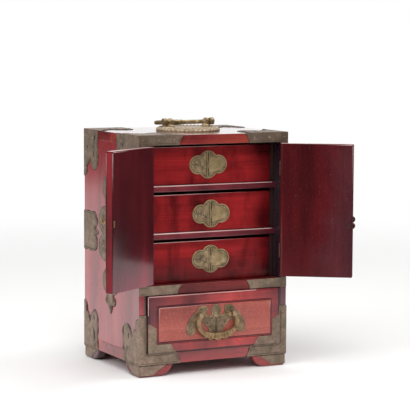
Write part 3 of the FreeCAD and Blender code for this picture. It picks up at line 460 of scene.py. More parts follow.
def makeBrass(name, look):
    material, tree, shader = newMaterial(name)
    plain = stretched(tree, white)
    mottle, tarnish, dents = (noise(tree, plain, layer) for layer in ("mottle", "tarnish", "dents"))
    base = ramp(tree, mottle, tuple(zip(brassStops, look["tones"])))
    green, share = look["green"]
    greened = ramp(tree, tarnish, tuple(zip(tarnishStops, (black, (share,) * 3))))
    base = blendColours(tree, greened, base, green)
    base = blendColours(tree, pitStrength, base, ramp(tree, dents, tints["pitted"]), "MULTIPLY")
    for fade in look.get("fades", ()):
        base = fadeAlong(tree, base, tarnish, *fade)
    fillInputs(tree, shader, {
        "Base Color": base,
        "Metallic": look["metal"],
        "Roughness": spread(tree, mottle, *(look["rough"] + step for step in brassRoughness)),
    })
    bump(tree, shader, dents, look["chased"], dentDepth)
    return material


finishes = {name: makeWood(name, look) for name, look in woods.items()}
finishes.update({name: makeBrass(name, look) for name, look in brasses.items()})
print("finishes made:", len(finishes))

# which finish each CAD node wears, and how its edges are softened
dressing = {
    "sideWood": ("left_side_panel", "right_side_panel"),
    "backWood": ("back_panel",),
    "topWood": ("top_panel",),
    "bottomWood": ("bottom_panel",),
    "railWood": ("middle_board",),
    "plinthWood": ("front_left_foot", "front_right_foot"),
    "footWood": ("back_left_foot", "back_right_foot"),
    "frameWood": ("base_drawer_front",),
    "drawerWood": [f"{drawer}_drawer_front" for drawer in smallDrawers],
    "shelfWood": ("upper_drawer_shelf", "lower_drawer_shelf"),
    "leftDoorWood": ("left_door_panel",),
    "rightDoorWood": ("right_door_panel",),
    "panelWood": ("base_drawer_panel",),
    "innerWood": ("left_drawer_lining", "right_drawer_lining"),
    "bareWood": [f"{drawer}_drawer_{board}" for drawer in (*smallDrawers, "base")
                 for board in ("sides", "back", "bottom")],
    "plateBrass": [f"{drawer}_drawer_plate" for drawer in smallDrawers],
    "batBrass": ("base_drawer_bat_plate",),
    "lugBrass": ("right_door_staple",),
    "handledBrass": ("base_drawer_bail", "base_drawer_bail_posts", "left_door_staple"),
    "gripBrass": ("carry_handle", "handle_posts"),
    "domeBrass": ("handle_plate",),
    "agedBrass": ("foot_caps", "top_front_corner_mounts", "top_back_corner_mounts", "bottom_front_corner_mounts",
                  "bottom_back_corner_mounts", "middle_rail_mounts", "left_side_medallion",
                  "right_side_medallion", "back_edge_straps", "stile_hinge_leaves", "hinge_pins",
                  "left_door_lock_plate", "right_door_lock_plate", "left_door_hinge_leaves",
                  "right_door_hinge_leaves", "base_drawer_corner_mounts"),
}
softEdges = {"wood": 0.7 * mm, "brass": 0.2 * mm, "base_drawer_bail": 1.3 * mm, "bottom_panel": 0.3 * mm,
             "left_side_panel": 0.3 * mm, "right_side_panel": 0.3 * mm, "top_panel": 0.3 * mm}
softAngle, weldGap = math.radians(40), 0.002 * mm
roundedSegments, plainSegments = 3, 2


def dressNode(name, finish):
    thing = nodes[name]
    thing.data.materials.clear()
    thing.data.materials.append(finishes[finish])
    weld = thing.modifiers.new("weld", "WELD")
    weld.merge_threshold = weldGap
    bevel = thing.modifiers.new("softEdge", "BEVEL")
    bevel.width = softEdges.get(name, softEdges["wood" if finish in woods else "brass"])
    bevel.segments = roundedSegments if name in softEdges else plainSegments
    bevel.limit_method = "ANGLE"
    bevel.angle_limit = softAngle
    bevel.harden_normals = True


for finish, names in dressing.items():
    for name in names:
        dressNode(name, finish)
print("nodes dressed:", sum(len(names) for names in dressing.values()))

# faces of the cabinet: the way each looks, and its two axes
axisX, axisY, axisZ = Vector((1, 0, 0)), Vector((0, 1, 0)), Vector((0, 0, 1))
faces = {
    "front": (-axisY, axisX, axisZ),
    "back": (axisY, axisX, axisZ),
    "left": (-axisX, axisY, axisZ),
    "right": (axisX, axisY, axisZ),
    "top": (axisZ, axisX, axisY),
}
halfWidth, halfDepth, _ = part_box("right_side_panel")[1]
underside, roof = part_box("bottom_panel")[0].z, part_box("top_panel")[1].z
dropHeight = 0.4  # a drop onto a node starts this far out
sameVertex = 0.0005 * mm
shortestRun = 3  # points; a line or a cut with no more is left out
roundSteps = 20  # of the larger turned pieces
surfaces = {}


def hingeOf(side):
    return Vector(joints[f"{side}_door_hinge"]["pos_m"])


def doorFace(side):  # the outer face of a shut door, turned to where the door stands at rest
    joint = joints[f"{side}_door_hinge"]
    turn = Matrix.Rotation(math.radians(-joint["range_deg"][0]), 4, Vector(joint["axis"]))
    return Matrix.Translation(hingeOf(side)) @ turn @ Matrix.Translation(-hingeOf(side))


def surfaceOf(name):
    if name not in surfaces:
        mesh = nodes[name].data
        corners = [vertex.co for vertex in mesh.vertices]
        surfaces[name] = BVHTree.FromPolygons(corners, [tuple(poly.vertices) for poly in mesh.polygons])
    return surfaces[name]


def landing(name, face, across, up, turn=None):  # where a straight drop onto a node lands, and the way out there
    out, right, rise = faces[face]
    start = right * across + rise * up + out * dropHeight
    if turn:
        start, out = turn @ start, turn.to_3x3() @ out
    spot = surfaceOf(name).ray_cast(start, -out)[0]
    return (spot, out) if spot else None


def handOver(piece, body):
    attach(piece, body)


def addPiece(name, shape, finish, body="carcass", smooth=True):
    mesh = bpy.data.meshes.new(name)
    bmesh.ops.remove_doubles(shape, verts=shape.verts, dist=sameVertex)
    bmesh.ops.recalc_face_normals(shape, faces=shape.faces)
    shape.to_mesh(mesh)
    shape.free()
    mesh.polygons.foreach_set("use_smooth", [smooth] * len(mesh.polygons))
    mesh.materials.append(finishes[finish])
    handOver(newThing(name, mesh), body)


def addLines(name, lines, radius, finish="incisedBrass", body="carcass", roundness=1, taper=None):
    data = bpy.data.curves.new(name, "CURVE")  # round wires along runs of points
    data.dimensions = "3D"
    data.bevel_depth = radius
    data.bevel_resolution = roundness
    data.use_fill_caps = True
    for points, cyclic in lines:
        spline = data.splines.new("POLY")
        spline.points.add(len(points) - 1)
        for index, (knot, point) in enumerate(zip(spline.points, points)):
            knot.co = (*point, 1)
            if taper:
                knot.radius = taper(index / (len(points) - 1))
        spline.use_cyclic_u = cyclic
    data.materials.append(finishes[finish])
    handOver(newThing(name, data), body)


def turnedInto(shape, profile, centre, way, steps=roundSteps):  # a half profile turned about an axis
    basis = way.to_track_quat("Z", "Y").to_matrix()
    rings = []
    for radius, height in profile:
        spots = [(*(spoke * radius), height) for spoke in circle(steps)] if radius > 0 else [(0, 0, height)]
        rings.append([shape.verts.new(centre + basis @ Vector(spot)) for spot in spots])
    for low, high in zip(rings, rings[1:]):
        for step in range(steps):
            ends = (low[step % len(low)], low[(step + 1) % len(low)],
                    high[(step + 1) % len(high)], high[step % len(high)])
            corners = list(dict.fromkeys(ends))
            if len(corners) > 2:
                shape.faces.new(corners)


def skinRows(shape, rows, closed=True):  # faces between rows of corners, each row a ring if closed
    for here, after in zip(rows, rows[1:]):
        for index in range(0 if closed else 1, len(here)):
            shape.faces.new((here[index - 1], here[index], after[index], after[index - 1]))


# domed nails; places are millimetres from the outer corner of the piece that they hold
nails = {
    "radius": 1.0 * mm,
    "height": 0.7 * mm,
    "sunk": 0.1 * mm,
    "skirt": 1.02,  # of the radius, under the dome
    "turns": (0, 0.45, 0.9, 1.3),  # radians up the dome
    "steps": 10,
    "topFront": {"front": ((4.4, 5), (23, 5.2), (42, 5.2), (4.4, 20)),
                 "side": ((6, 7), (26, 9), (44, 8), (52, 26), (44, 30), (9, 24), (6, 39))},
    "topBack": {"side": ((6, 7), (24, 9), (33, 32), (20, 26), (6, 26), (4, 44))},
    "topCap": ((8, 8), (26, 9), (9, 26), (40, 26), (24, 22)),
    "bottomFront": {"front": ((4.4, 8), (4.4, 29), (4.4, 48), (23, 6), (41, 6)),
                    "side": ((6, 6), (24, 8), (37, 9), (36, 31), (7, 25), (4, 43), (20, 27))},
    "bottomBack": {"side": ((6, 6), (22, 8), (34, 10), (33, 33), (6, 28), (4, 45), (18, 29))},
    "middle": ((4.4, 5), (23, 5), (42, 6)),
    "strap": ((7, 14), (7, -14), (27, 11), (27, -11)),
    "medallion": ((0, 0.6), (0, 0), (0, -0.6), (17, 0.157), (-17, 0.157), (17, -0.157),
                  (-17, -0.157)),  # across, and up in shares of half the height
    "hinge": ((3.2, 3), (3.2, 13), (6.3, 3), (6.3, 13)),  # from the pin and up from the leaf's foot
    "hingeHeight": 16 * mm,
    "hingeRadius": 0.7 * mm,
    "baseMount": ((6.2, 6.2), (6.2, 26), (24, 6.2)),
    "footCap": ((7, 8), (19, 9)),
    "lockPlate": ((19.5, -80), (19.5, -45), (19.5, 45), (19.5, 80)),  # radius and angle
    "lockGap": 0.8,  # from the middle of the front to a lock plate
}


def nailProfile(radius, height):
    return [(radius * math.cos(turn), height * math.sin(turn)) for turn in nails["turns"]] + [(0, height)]


def driveNails(name, spots, body="carcass", radius=nails["radius"], finish="nailBrass"):
    shape = bmesh.new()
    under = [(0, -nails["sunk"]), (radius * nails["skirt"], -nails["sunk"])]
    profile = under + nailProfile(radius, nails["height"] * radius / nails["radius"])
    found = [spot for spot in spots if spot]
    for spot, out in found:
        turnedInto(shape, profile, spot, out, nails["steps"])
    addPiece(name, shape, finish, body)
    return len(found)


def dropAll(node, face, places, across, up):  # across and up: where the places are counted from, and which way
    (edge, inward), (base, rise) = across, up
    return [landing(node, face, edge + inward * x * mm, base + rise * z * mm) for x, z in places]


def medallionRise(flank, share):  # the height at a share of half a medallion, from its middle
    bottom, top = (corner.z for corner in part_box(f"{flank}_side_medallion"))
    return (bottom + top) / 2 + share * (top - bottom) / 2


def onLockPlate(side, sign, point):
    across = sign * (nails["lockGap"] + point.x) * mm
    return landing(f"{side}_door_lock_plate", "front", across, hingeOf(side).z + point.y * mm, doorFace(side))


def cornerSpots():
    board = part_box("middle_board")[0].z
    waist = sum(corner.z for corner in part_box("back_edge_straps")) / 2
    spots = []
    for flank, side in sides:
        edge = (side * halfWidth, -side)
        for face, end in (("front", -1), ("back", 1)):
            rim = (end * halfDepth, -end)
            for height, level in (("top", (roof, -1)), ("bottom", (underside, 1))):
                node = f"{height}_{face}_corner_mounts"
                places = nails[height + face.title()]
                spots += dropAll(node, face, places.get("front", places["side"]), edge, level)
                spots += dropAll(node, flank, places["side"], rim, level)
                if height == "top":
                    spots += dropAll(node, "top", nails["topCap"], edge, rim)
            spots += dropAll("foot_caps", face, nails["footCap"], edge, (0, 1))
            spots += dropAll("foot_caps", flank, nails["footCap"], rim, (0, 1))
        spots += dropAll("middle_rail_mounts", "front", nails["middle"], edge, (board, 1))
        spots += dropAll("back_edge_straps", "back", nails["strap"], edge, (waist, 1))
        spots += dropAll("back_edge_straps", flank, nails["strap"], (halfDepth, -1), (waist, 1))
        spots += [landing(f"{flank}_side_medallion", flank, across * mm, medallionRise(flank, share))
                  for across, share in nails["medallion"]]
    return spots


def baseMountSpots():
    low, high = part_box("base_drawer_front")
    spots = []
    for _, side in sides:
        spots += dropAll("base_drawer_corner_mounts", "front", nails["baseMount"], (side * high.x, -side), (low.z, 1))
    return spots


driven = driveNails("mount_nails", cornerSpots())
driven += driveNails("base_mount_nails", baseMountSpots(), "base_drawer")
for side, sign in sides:
    spots = [onLockPlate(side, sign, heading(angle) * radius) for radius, angle in nails["lockPlate"]]
    driven += driveNails(f"{side}_lock_nails", spots, f"{side}_door")
print("nails driven:", driven)

# lines that follow the rims of flat brass
rims = {
    "plateInset": 0.75 * mm, "plateRadius": 0.6 * mm, "batRadius": 0.5 * mm,
    "lineInset": 1.6 * mm, "lineRadius": 0.16 * mm, "innerInset": 1.75 * mm, "innerRadius": 0.26 * mm,
    "step": 0.6 * mm, "longStep": 1.2 * mm,  # between the points of a line
    "flat": 0.99, "sameLevel": 0.05 * mm, "sameCorner": 100000,  # per metre
    "clear": 0.93,  # share of the inset that a point keeps from the rim
    "shortest": 4,
}


def outlineLoops(name, out):  # the rims of a node's outermost flat faces that look out
    mesh = nodes[name].data
    flats = [poly for poly in mesh.polygons if poly.normal.dot(out) > rims["flat"]]
    level = max(poly.center.dot(out) for poly in flats)
    edges, spots = {}, {}
    for poly in flats:
        if poly.center.dot(out) < level - rims["sameLevel"]:
            continue
        keys = []
        for index in poly.vertices:
            spot = mesh.vertices[index].co
            keys.append(tuple(round(part * rims["sameCorner"]) for part in spot))
            spots[keys[-1]] = spot
        for first, second in zip(keys, keys[1:] + keys[:1]):
            if (second, first) in edges:
                del edges[(second, first)]
            else:
                edges[(first, second)] = True
    after = {first: second for first, second in edges}
    loops = []
    while after:
        first, second = after.popitem()
        loop = [first]
        while second in after:
            loop.append(second)
            second = after.pop(second)
        loops.append([spots[key].copy() for key in loop])
    return loops


def resampled(loop, step):
    points = []
    for here, after in zip(loop, loop[1:] + loop[:1]):
        count = max(1, round((after - here).length / step))
        points += [here.lerp(after, index / count) for index in range(count)]
    return points


def keptRuns(points, kept, shortest):  # the unbroken runs of the points that are kept
    runs = [[]]
    for point, keep in zip(points, kept):
        if keep:
            runs[-1].append(point)
        else:
            runs.append([])
    return [(run, False) for run in runs if len(run) > shortest]


def insetRuns(loop, out, inset, step):  # runs of points that stay the inset away from the rim
    rim = resampled(loop, step)
    near = KDTree(len(rim))
    for index, point in enumerate(rim):
        near.insert(point, index)
    near.balance()
    moved = []
    for before, here, after in zip(rim[-1:] + rim[:-1], rim, rim[1:] + rim[:1]):
        moved.append(here + out.cross(after - before).normalized() * inset)
    kept = [near.find(point)[2] > abs(inset) * rims["clear"] for point in moved]
    if all(kept):
        return [(moved, True)]
    start = kept.index(False)
    return keptRuns(moved[start:] + moved[:start], kept[start:] + kept[:start], rims["shortest"])


def rimLines(name, face, inset, lift=0.0, step=rims["step"]):
    out = faces[face][0]
    lines = []
    for loop in outlineLoops(name, out):
        for points, cyclic in insetRuns(loop, out, inset, step):
            lines.append(([point + out * lift for point in points], cyclic))
    return lines


# raised rims round the drawer plates and the bat, a chased line inside the medallions
for drawer in smallDrawers:
    plate, body = f"{drawer}_drawer_plate", f"{drawer}_drawer"
    lines = rimLines(plate, "front", rims["plateInset"])
    addLines(f"{drawer}_plate_rim", lines, rims["plateRadius"], "tongueBrass", body, roundness=2)
    addLines(f"{drawer}_plate_line", rimLines(plate, "front", rims["innerInset"]), rims["innerRadius"], body=body)
lines = rimLines("base_drawer_bat_plate", "front", rims["plateInset"])
addLines("bat_rim", lines, rims["batRadius"], "plateBrass", "base_drawer", roundness=2)
for flank, _ in sides:
    lines = rimLines(f"{flank}_side_medallion", flank, rims["lineInset"])
    addLines(f"{flank}_medallion_line", lines, rims["lineRadius"], roundness=2)
print("rims laid")

# painted shadow along the edges of the brass, where it stands off the wood, with some grime
shadowAndGrime = {
    "radius": 0.5 * mm,
    "outset": 0.16 * mm,
    "ripples": 9,  # times that a line swells along its length
    "swell": (0.95, 0.75),  # middle and reach of the swelling
    "fromFold": 0.3 * mm,  # kept clear of the carcass's edges
    "boardEdge": 0.6 * mm,
    "mouthSide": 1.2 * mm,  # kept clear of the drawer's and the doors' opening
    "mouthEnd": 0.8 * mm,
    "edges": (  # node, its faces, thickness of the sheet
        ("top_front_corner_mounts", ("front", "left", "right", "top"), 0.6 * mm),
        ("top_back_corner_mounts", ("back", "left", "right", "top"), 0.6 * mm),
        ("bottom_front_corner_mounts", ("front", "left", "right"), 0.6 * mm),
        ("bottom_back_corner_mounts", ("back", "left", "right"), 0.6 * mm),
        ("middle_rail_mounts", ("front",), 0.6 * mm),
        ("back_edge_straps", ("back", "left", "right"), 0.6 * mm),
        ("left_side_medallion", ("left",), 1.0 * mm),
        ("right_side_medallion", ("right",), 1.0 * mm)),
}


def offCorners(lines, face, inset, board=None):  # the runs without folds round the carcass or edges by a drawer
    half = (halfWidth - inset, halfDepth - inset, roof - inset)
    low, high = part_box("base_drawer_front")
    mouthSide = high.x + shadowAndGrime["mouthSide"]
    mouthFoot, mouthHead = low.z - shadowAndGrime["mouthEnd"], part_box("left_door_panel")[1].z + shadowAndGrime["mouthEnd"]
    outward = [abs(part) for part in faces[face][0]]

    def clear(point):
        if any(abs(part) > limit and not way for part, limit, way in zip(point, half, outward)):
            return False
        if board:
            return board[0] < point.z < board[1]
        return face != "front" or not (abs(point.x) < mouthSide and mouthFoot < point.z < mouthHead)

    runs = []
    for points, cyclic in lines:
        points = points + points[:1] * cyclic
        runs += keptRuns(points, [clear(point) for point in points], shortestRun)
    return runs


def layShadowAndGrime():
    lines = []
    for name, looks, thickness in shadowAndGrime["edges"]:
        board = None
        if name == "middle_rail_mounts":
            low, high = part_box(name)
            board = (low.z + shadowAndGrime["boardEdge"], high.z - shadowAndGrime["boardEdge"])
        for face in looks:
            runs = rimLines(name, face, -shadowAndGrime["outset"], -thickness, rims["longStep"])
            lines += offCorners(runs, face, shadowAndGrime["fromFold"], board)
    middle, reach = shadowAndGrime["swell"]

    # the painted shadow line swells and thins along its length
    def swellAlong(share):
        return middle + reach * math.sin(2 * math.pi * shadowAndGrime["ripples"] * share)

    addLines("mount_shadow_lines", lines, shadowAndGrime["radius"], taper=swellAlong)
    print("grime laid:", len(lines))


layShadowAndGrime()

# chased lines: one inside the rim of each mount, flowers on the medallions and petals on the lock plates
chasing = {
    "radius": 0.22 * mm,
    "inset": 1.7 * mm,
    "fromFold": 1.9 * mm,
    "almond": ((0, 0), (0.3, 0.2), (0.6, 0.2), (1, 0), (0.6, -0.2), (0.3, -0.2)),  # along and across, in lengths
    "flowers": ((0, 0, 10.5, 8), (0, 0.6, 8.5, 6), (0, -0.6, 8.5, 6), (17, 0.157, 7, 5), (-17, 0.157, 7, 5),
                (17, -0.157, 7, 5), (-17, -0.157, 7, 5)),  # across, share of half the height, ring, petals
    "flowerPetal": (0.22, 0.72),  # root and length, in shares of the ring
    "ringSteps": 32,
    "petals": (-68, -34, 0, 34, 68),  # angles on a lock plate
    "petalStart": 9,
    "petalLength": 8,
    "arcs": (6.5, 19.5),  # radii on a lock plate, in millimetres
    "arcEnd": 85,
    "arcSteps": 30,
}


def almond(root, angle, length):  # the outline of one small leaf
    way = heading(angle) * length
    across = Vector((-way.y, way.x))
    return [Vector(root) + way * share + across * swell for share, swell in chasing["almond"]]


def flower(ring, petals):  # a ring of petals round a nail, inside a circle
    root, length = (share * ring for share in chasing["flowerPetal"])
    angles = [360 * step / petals + 90 for step in range(petals)]
    outlines = [almond(heading(angle) * root, angle, length) for angle in angles]
    return outlines + [[spoke * ring for spoke in circle(chasing["ringSteps"])]]


def chaseMounts():
    lines = []
    for name, looks, _ in shadowAndGrime["edges"]:
        if "medallion" not in name:
            for face in looks:
                runs = rimLines(name, face, chasing["inset"], step=rims["longStep"])
                lines += offCorners(runs, face, chasing["fromFold"])
    for flank, _ in sides:
        for across, share, ring, petals in chasing["flowers"]:
            rise = medallionRise(flank, share)
            for outline in flower(ring, petals):
                spots = [landing(f"{flank}_side_medallion", flank, (across + point.x) * mm, rise + point.y * mm)
                         for point in outline]
                if all(spots):
                    lines.append(([spot for spot, out in spots], True))
    addLines("mount_chasing", lines, chasing["radius"])
    print("mounts chased:", len(lines))


def chaseLockPlate(side, sign):
    outlines = []
    for angle in chasing["petals"]:
        outlines.append((almond(heading(angle) * chasing["petalStart"], angle, chasing["petalLength"]), True))
    end, steps = chasing["arcEnd"], chasing["arcSteps"]
    for radius in chasing["arcs"]:
        outlines.append(([heading(-end + 2 * end * step / steps) * radius for step in range(steps + 1)], False))
    lines = []
    for outline, cyclic in outlines:
        spots = [onLockPlate(side, sign, point) for point in outline]
        run = [spot[0] for spot in spots if spot]
        if len(run) > shortestRun:
            lines.append((run, cyclic and len(run) == len(outline)))
    addLines(f"{side}_lock_chasing", lines, chasing["radius"], body=f"{side}_door")


def pinHinges():  # four small nails through each hinge leaf
    low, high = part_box("stile_hinge_leaves")
    stile = []
    for side, sign in sides:
        pin, turn = hingeOf(side), doorFace(side)
        door = []
        for foot in (low.z, high.z - nails["hingeHeight"]):
            for across, up in nails["hinge"]:
                reach, rise = sign * across * mm, foot + up * mm
                stile.append(landing("stile_hinge_leaves", "front", pin.x + reach, rise))
                door.append(landing(f"{side}_door_hinge_leaves", "front", pin.x - reach, rise, turn))
        driveNails(f"{side}_hinge_nails", door, f"{side}_door", nails["hingeRadius"])
    print("hinge nails:", driveNails("stile_hinge_nails", stile, "carcass", nails["hingeRadius"]), len(door))


chaseMounts()
for side, sign in sides:
    chaseLockPlate(side, sign)
pinHinges()

# cuts through the brass leaves, drawn as dark slivers of painted shade: millimetres from the outer corner, angle and
# length
slits = {
    "halfWidth": 1.5 * mm,
    "proud": 0.06 * mm,
    "sunk": 0.4 * mm,
    "bend": 50,  # degrees from end to end
    "blunt": 0.12,  # share of the width that is left at an end
    "shares": (-0.5, -0.3, -0.1, 0.1, 0.3, 0.5),
    "topFront": ((41, 12, 80, 5), (36, 26, 60, 6), (22, 31, 100, 7), (51, 18, 75, 5)),
    "topBack": ((30, 9, 95, 6), (27, 27, 80, 9), (16, 38, 60, 7), (10, 20, 85, 5)),
    "bottomFront": ((36, 43, 30, 12), (13, 43, 27, 10), (40, 33, 85, 8), (37, 14, 85, 6), (26, 30, 110, 8)),
    "bottomBack": ((16, 34, 115, 9), (28, 36, 100, 7), (29, 17, 98, 20), (8, 44, 100, 8)),
}


def lensInto(shape, run, out):  # a thin closed sliver along a run of points
    count = len(run) - 1
    proud, sunk, blunt = slits["proud"], slits["sunk"], slits["blunt"]
    rows = []
    for index, point in enumerate(run):
        way = (run[min(index + 1, count)] - run[max(index - 1, 0)]).normalized()
        swell = blunt + (1 - blunt) * math.sin(math.pi * index / count)
        reach = out.cross(way) * slits["halfWidth"] * swell
        corners = ((1, proud), (-1, proud), (-1, -sunk), (1, -sunk))
        rows.append([shape.verts.new(point + reach * side + out * lift) for side, lift in corners])
    skinRows(shape, rows)
    shape.faces.new(rows[0])
    shape.faces.new(rows[-1])


def cutSlits():
    shape = bmesh.new()
    cut = 0
    for flank, _ in sides:
        for face, end in (("front", -1), ("back", 1)):
            for height, level in (("top", (roof, -1)), ("bottom", (underside, 1))):
                for across, up, angle, length in slits[height + face.title()]:
                    places = [Vector((across, up)) + heading(angle + slits["bend"] * share) * length * share
                              for share in slits["shares"]]
                    node = f"{height}_{face}_corner_mounts"
                    spots = dropAll(node, flank, places, (end * halfDepth, -end), level)
                    run = [spot[0] for spot in spots if spot]
                    if len(run) > shortestRun:
                        lensInto(shape, run, faces[flank][0])
                        cut += 1
    # the slivers are dark: painted shade in the cuts
    addPiece("leaf_slits", shape, "incisedBrass", smooth=False)
    print("slits cut:", cut)


cutSlits()

# a sloped moulding that fills the channel round the raised panel
channel = {"width": 2.0 * mm, "gap": 0.15 * mm, "depth": 2.8 * mm, "shoulder": 0.5 * mm, "crown": 0.1 * mm,
           "crownShare": 0.5, "lip": 0.35 * mm}


def panelFrame():
    low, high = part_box("base_drawer_panel")
    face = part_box("base_drawer_corner_mounts")[1].y
    inner, outer = channel["gap"], channel["width"] - channel["gap"]
    section = ((inner, channel["depth"]), (inner, channel["shoulder"]),
               (outer * channel["crownShare"], channel["crown"]),
               (outer, channel["lip"]), (outer, channel["depth"]))
    corners = ((low.x, low.z, -1, -1), (high.x, low.z, 1, -1), (high.x, high.z, 1, 1), (low.x, high.z, -1, 1))
    shape = bmesh.new()
    rings = []
    for x, z, across, up in corners:
        rings.append([shape.verts.new((x + across * away, face + deep, z + up * away)) for away, deep in section])
    skinRows(shape, rings + rings[:1])
    addPiece("panel_moulding", shape, "channelWood", "base_drawer", smooth=False)


panelFrame()
print("panel moulding fitted")

# painted highlights: pale wires along the rounded edges, where a lamp's glint would run
worn = {
    # radius of the wire, how far inside the square corner it runs, how far from each end it stops
    "shelf": (1.0 * mm, 0.92 * mm, 4 * mm, 4 * mm),
    "drawer": (0.62 * mm, 0.56 * mm, 3 * mm, 20 * mm),
    "panel": (0.75 * mm, 0.72 * mm, 30 * mm, 20 * mm),  # stops before the right end, runs so far down the left
    "doorEdge": (0.62 * mm, 0.56 * mm, 2 * mm, 2 * mm),
    "doorTop": (1.05 * mm, 0.95 * mm, 0, 6 * mm),
    "lipping": 0.12 * mm,  # the skins of painted light on the free edge and the top, how far they stand proud
    "lippingInset": 1.1 * mm,
    "lippingEase": 0.1 * mm,
    "steps": 12,
    "thinning": 0.25,  # of the wire from its start to its end
}


def straight(start, end):
    return [start.lerp(end, step / worn["steps"]) for step in range(worn["steps"] + 1)], False


def rubbedAndHighlit(share):  # the painted highlight is strongest at the start of a run
    return 1.0 - worn["thinning"] * share


# pale wires of painted highlight
def highlightLines(name, runs, radius, body):
    addLines(name, runs, radius, "paintedEdgeHighlight", body, 2, rubbedAndHighlit)


# painted highlights along the shelf, drawer and panel edges
def paintEdgeHighlights():
    rows = [(f"{level}_drawer_shelf", f"{level}_drawer_shelf_highlight", "carcass", "shelf")
            for level in ("upper", "lower")]
    rows += [(f"{level}_drawer_front", f"{level}_drawer_highlight", f"{level}_drawer", "drawer")
             for level in smallDrawers]
    for node, name, body, kind in rows:
        radius, sunk, fromStart, fromEnd = worn[kind]
        low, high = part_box(node)
        y, z = low.y + sunk, high.z - sunk
        highlightLines(name, [straight(Vector((low.x + fromStart, y, z)), Vector((high.x - fromEnd, y, z)))], radius, body)
    radius, sunk, fromEnd, down = worn["panel"]
    low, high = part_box("base_drawer_panel")
    corners = [Vector((x, low.y + sunk, z)) for x, z in
               ((low.x + sunk, low.z + sunk), (low.x + sunk, high.z - sunk),
                (high.x - sunk, high.z - sunk), (high.x - sunk, low.z + sunk))]
    runs = [straight(corners[start], corners[end]) for start, end in ((1, 0), (1, 2), (2, 3))]
    low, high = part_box("base_drawer_front")
    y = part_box("base_drawer_corner_mounts")[1].y + sunk
    corner = Vector((low.x + sunk, y, high.z - sunk))
    runs.append(straight(corner, Vector((high.x - fromEnd, y, corner.z))))
    runs.append(straight(corner, Vector((corner.x, y, corner.z - down))))
    highlightLines("base_drawer_highlight", runs, radius, "base_drawer")


def layLightSkin(name, finish, body, turn, start, end):  # a thin skin between two corners of a shut door, which carries painted light
    shape = bmesh.new()
    bmesh.ops.create_cube(shape, size=1)
    for vert in shape.verts:
        vert.co = turn @ Vector(low + (high - low) * (part + 0.5) for low, high, part in zip(start, end, vert.co))
    bmesh.ops.bevel(shape, geom=shape.edges[:], offset=worn["lippingEase"], segments=2, profile=0.5, affect="EDGES")
    addPiece(name, shape, finish, body, smooth=False)


def paintDoorLight():  # painted light on each door: a brighter crimson skin on its free edge, as lit from the left, and painted highlights along its corners and its top
    radius, sunk, fromTop, fromFoot = worn["doorEdge"]
    topRadius, topSunk, _, fromHinge = worn["doorTop"]
    proud, margin = worn["lipping"], Vector((1, 1, 1)) * worn["lippingInset"]
    for side, sign in sides:
        turn, body = doorFace(side), f"{side}_door"
        shut = [turn.inverted() @ vertex.co for vertex in nodes[f"{side}_door_panel"].data.vertices]
        low, high = (Vector(pick(point[axis] for point in shut) for axis in range(3)) for pick in (min, max))
        free, hinged = (high.x, low.x) if sign < 0 else (low.x, high.x)
        edgeRuns, topRuns = [], []
        for edge, inward in ((low.y, 1), (high.y, -1)):
            x, y, z = free + sign * sunk, edge + inward * sunk, high.z - topSunk
            start, end = Vector((x, y, high.z - fromTop)), Vector((x, y, low.z + fromFoot))
            edgeRuns.append(straight(turn @ start, turn @ end))
            y = edge + inward * topSunk
            start, end = Vector((free + sign * topSunk, y, z)), Vector((hinged - sign * fromHinge, y, z))
            topRuns.append(straight(turn @ start, turn @ end))
        highlightLines(f"{side}_door_edge_highlight", edgeRuns, radius, body)
        highlightLines(f"{side}_door_top_rub", topRuns, topRadius, body)
        start, end = low + margin, high - margin
        start.x, end.x = free - proud, free + proud
        layLightSkin(f"{side}_door_edge_light_skin", "doorEdgeWood", body, turn, start, end)
        start, end = low + margin, high - margin
        start.z, end.z = high.z - proud, high.z + proud
        layLightSkin(f"{side}_door_top_lipping", "paintedEdgeHighlight", body, turn, start, end)


# painted highlights along the edges, and painted light on the doors
paintEdgeHighlights()
paintDoorLight()
print("edges rubbed")

# the corner mounts of the base drawer run out to its edges
lip = {"edge": 0.12 * mm, "under": 0.8 * mm, "inner": 33 * mm, "lap": 0.05 * mm}


def foldLips():
    low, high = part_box("base_drawer_front")
    plateLow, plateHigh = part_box("base_drawer_corner_mounts")
    outer, inner, tip = high.x - lip["edge"], plateHigh.x + lip["lap"], high.x - lip["inner"]
    bottom, upper = low.z + lip["under"], plateLow.z - lip["lap"]
    corners = ((outer, bottom), (tip, bottom), (tip, upper), (inner, upper),
               (inner, plateHigh.z), (outer, plateHigh.z))
    shape = bmesh.new()
    for _, side in sides:
        rows = [[shape.verts.new((side * x, y, z)) for x, z in corners] for y in (plateLow.y, plateHigh.y)]
        skinRows(shape, rows)
        for row in rows:
            shape.faces.new(row)
    addPiece("base_mount_lips", shape, "agedBrass", "base_drawer", smooth=False)
    print("base mounts folded out")


foldLips()

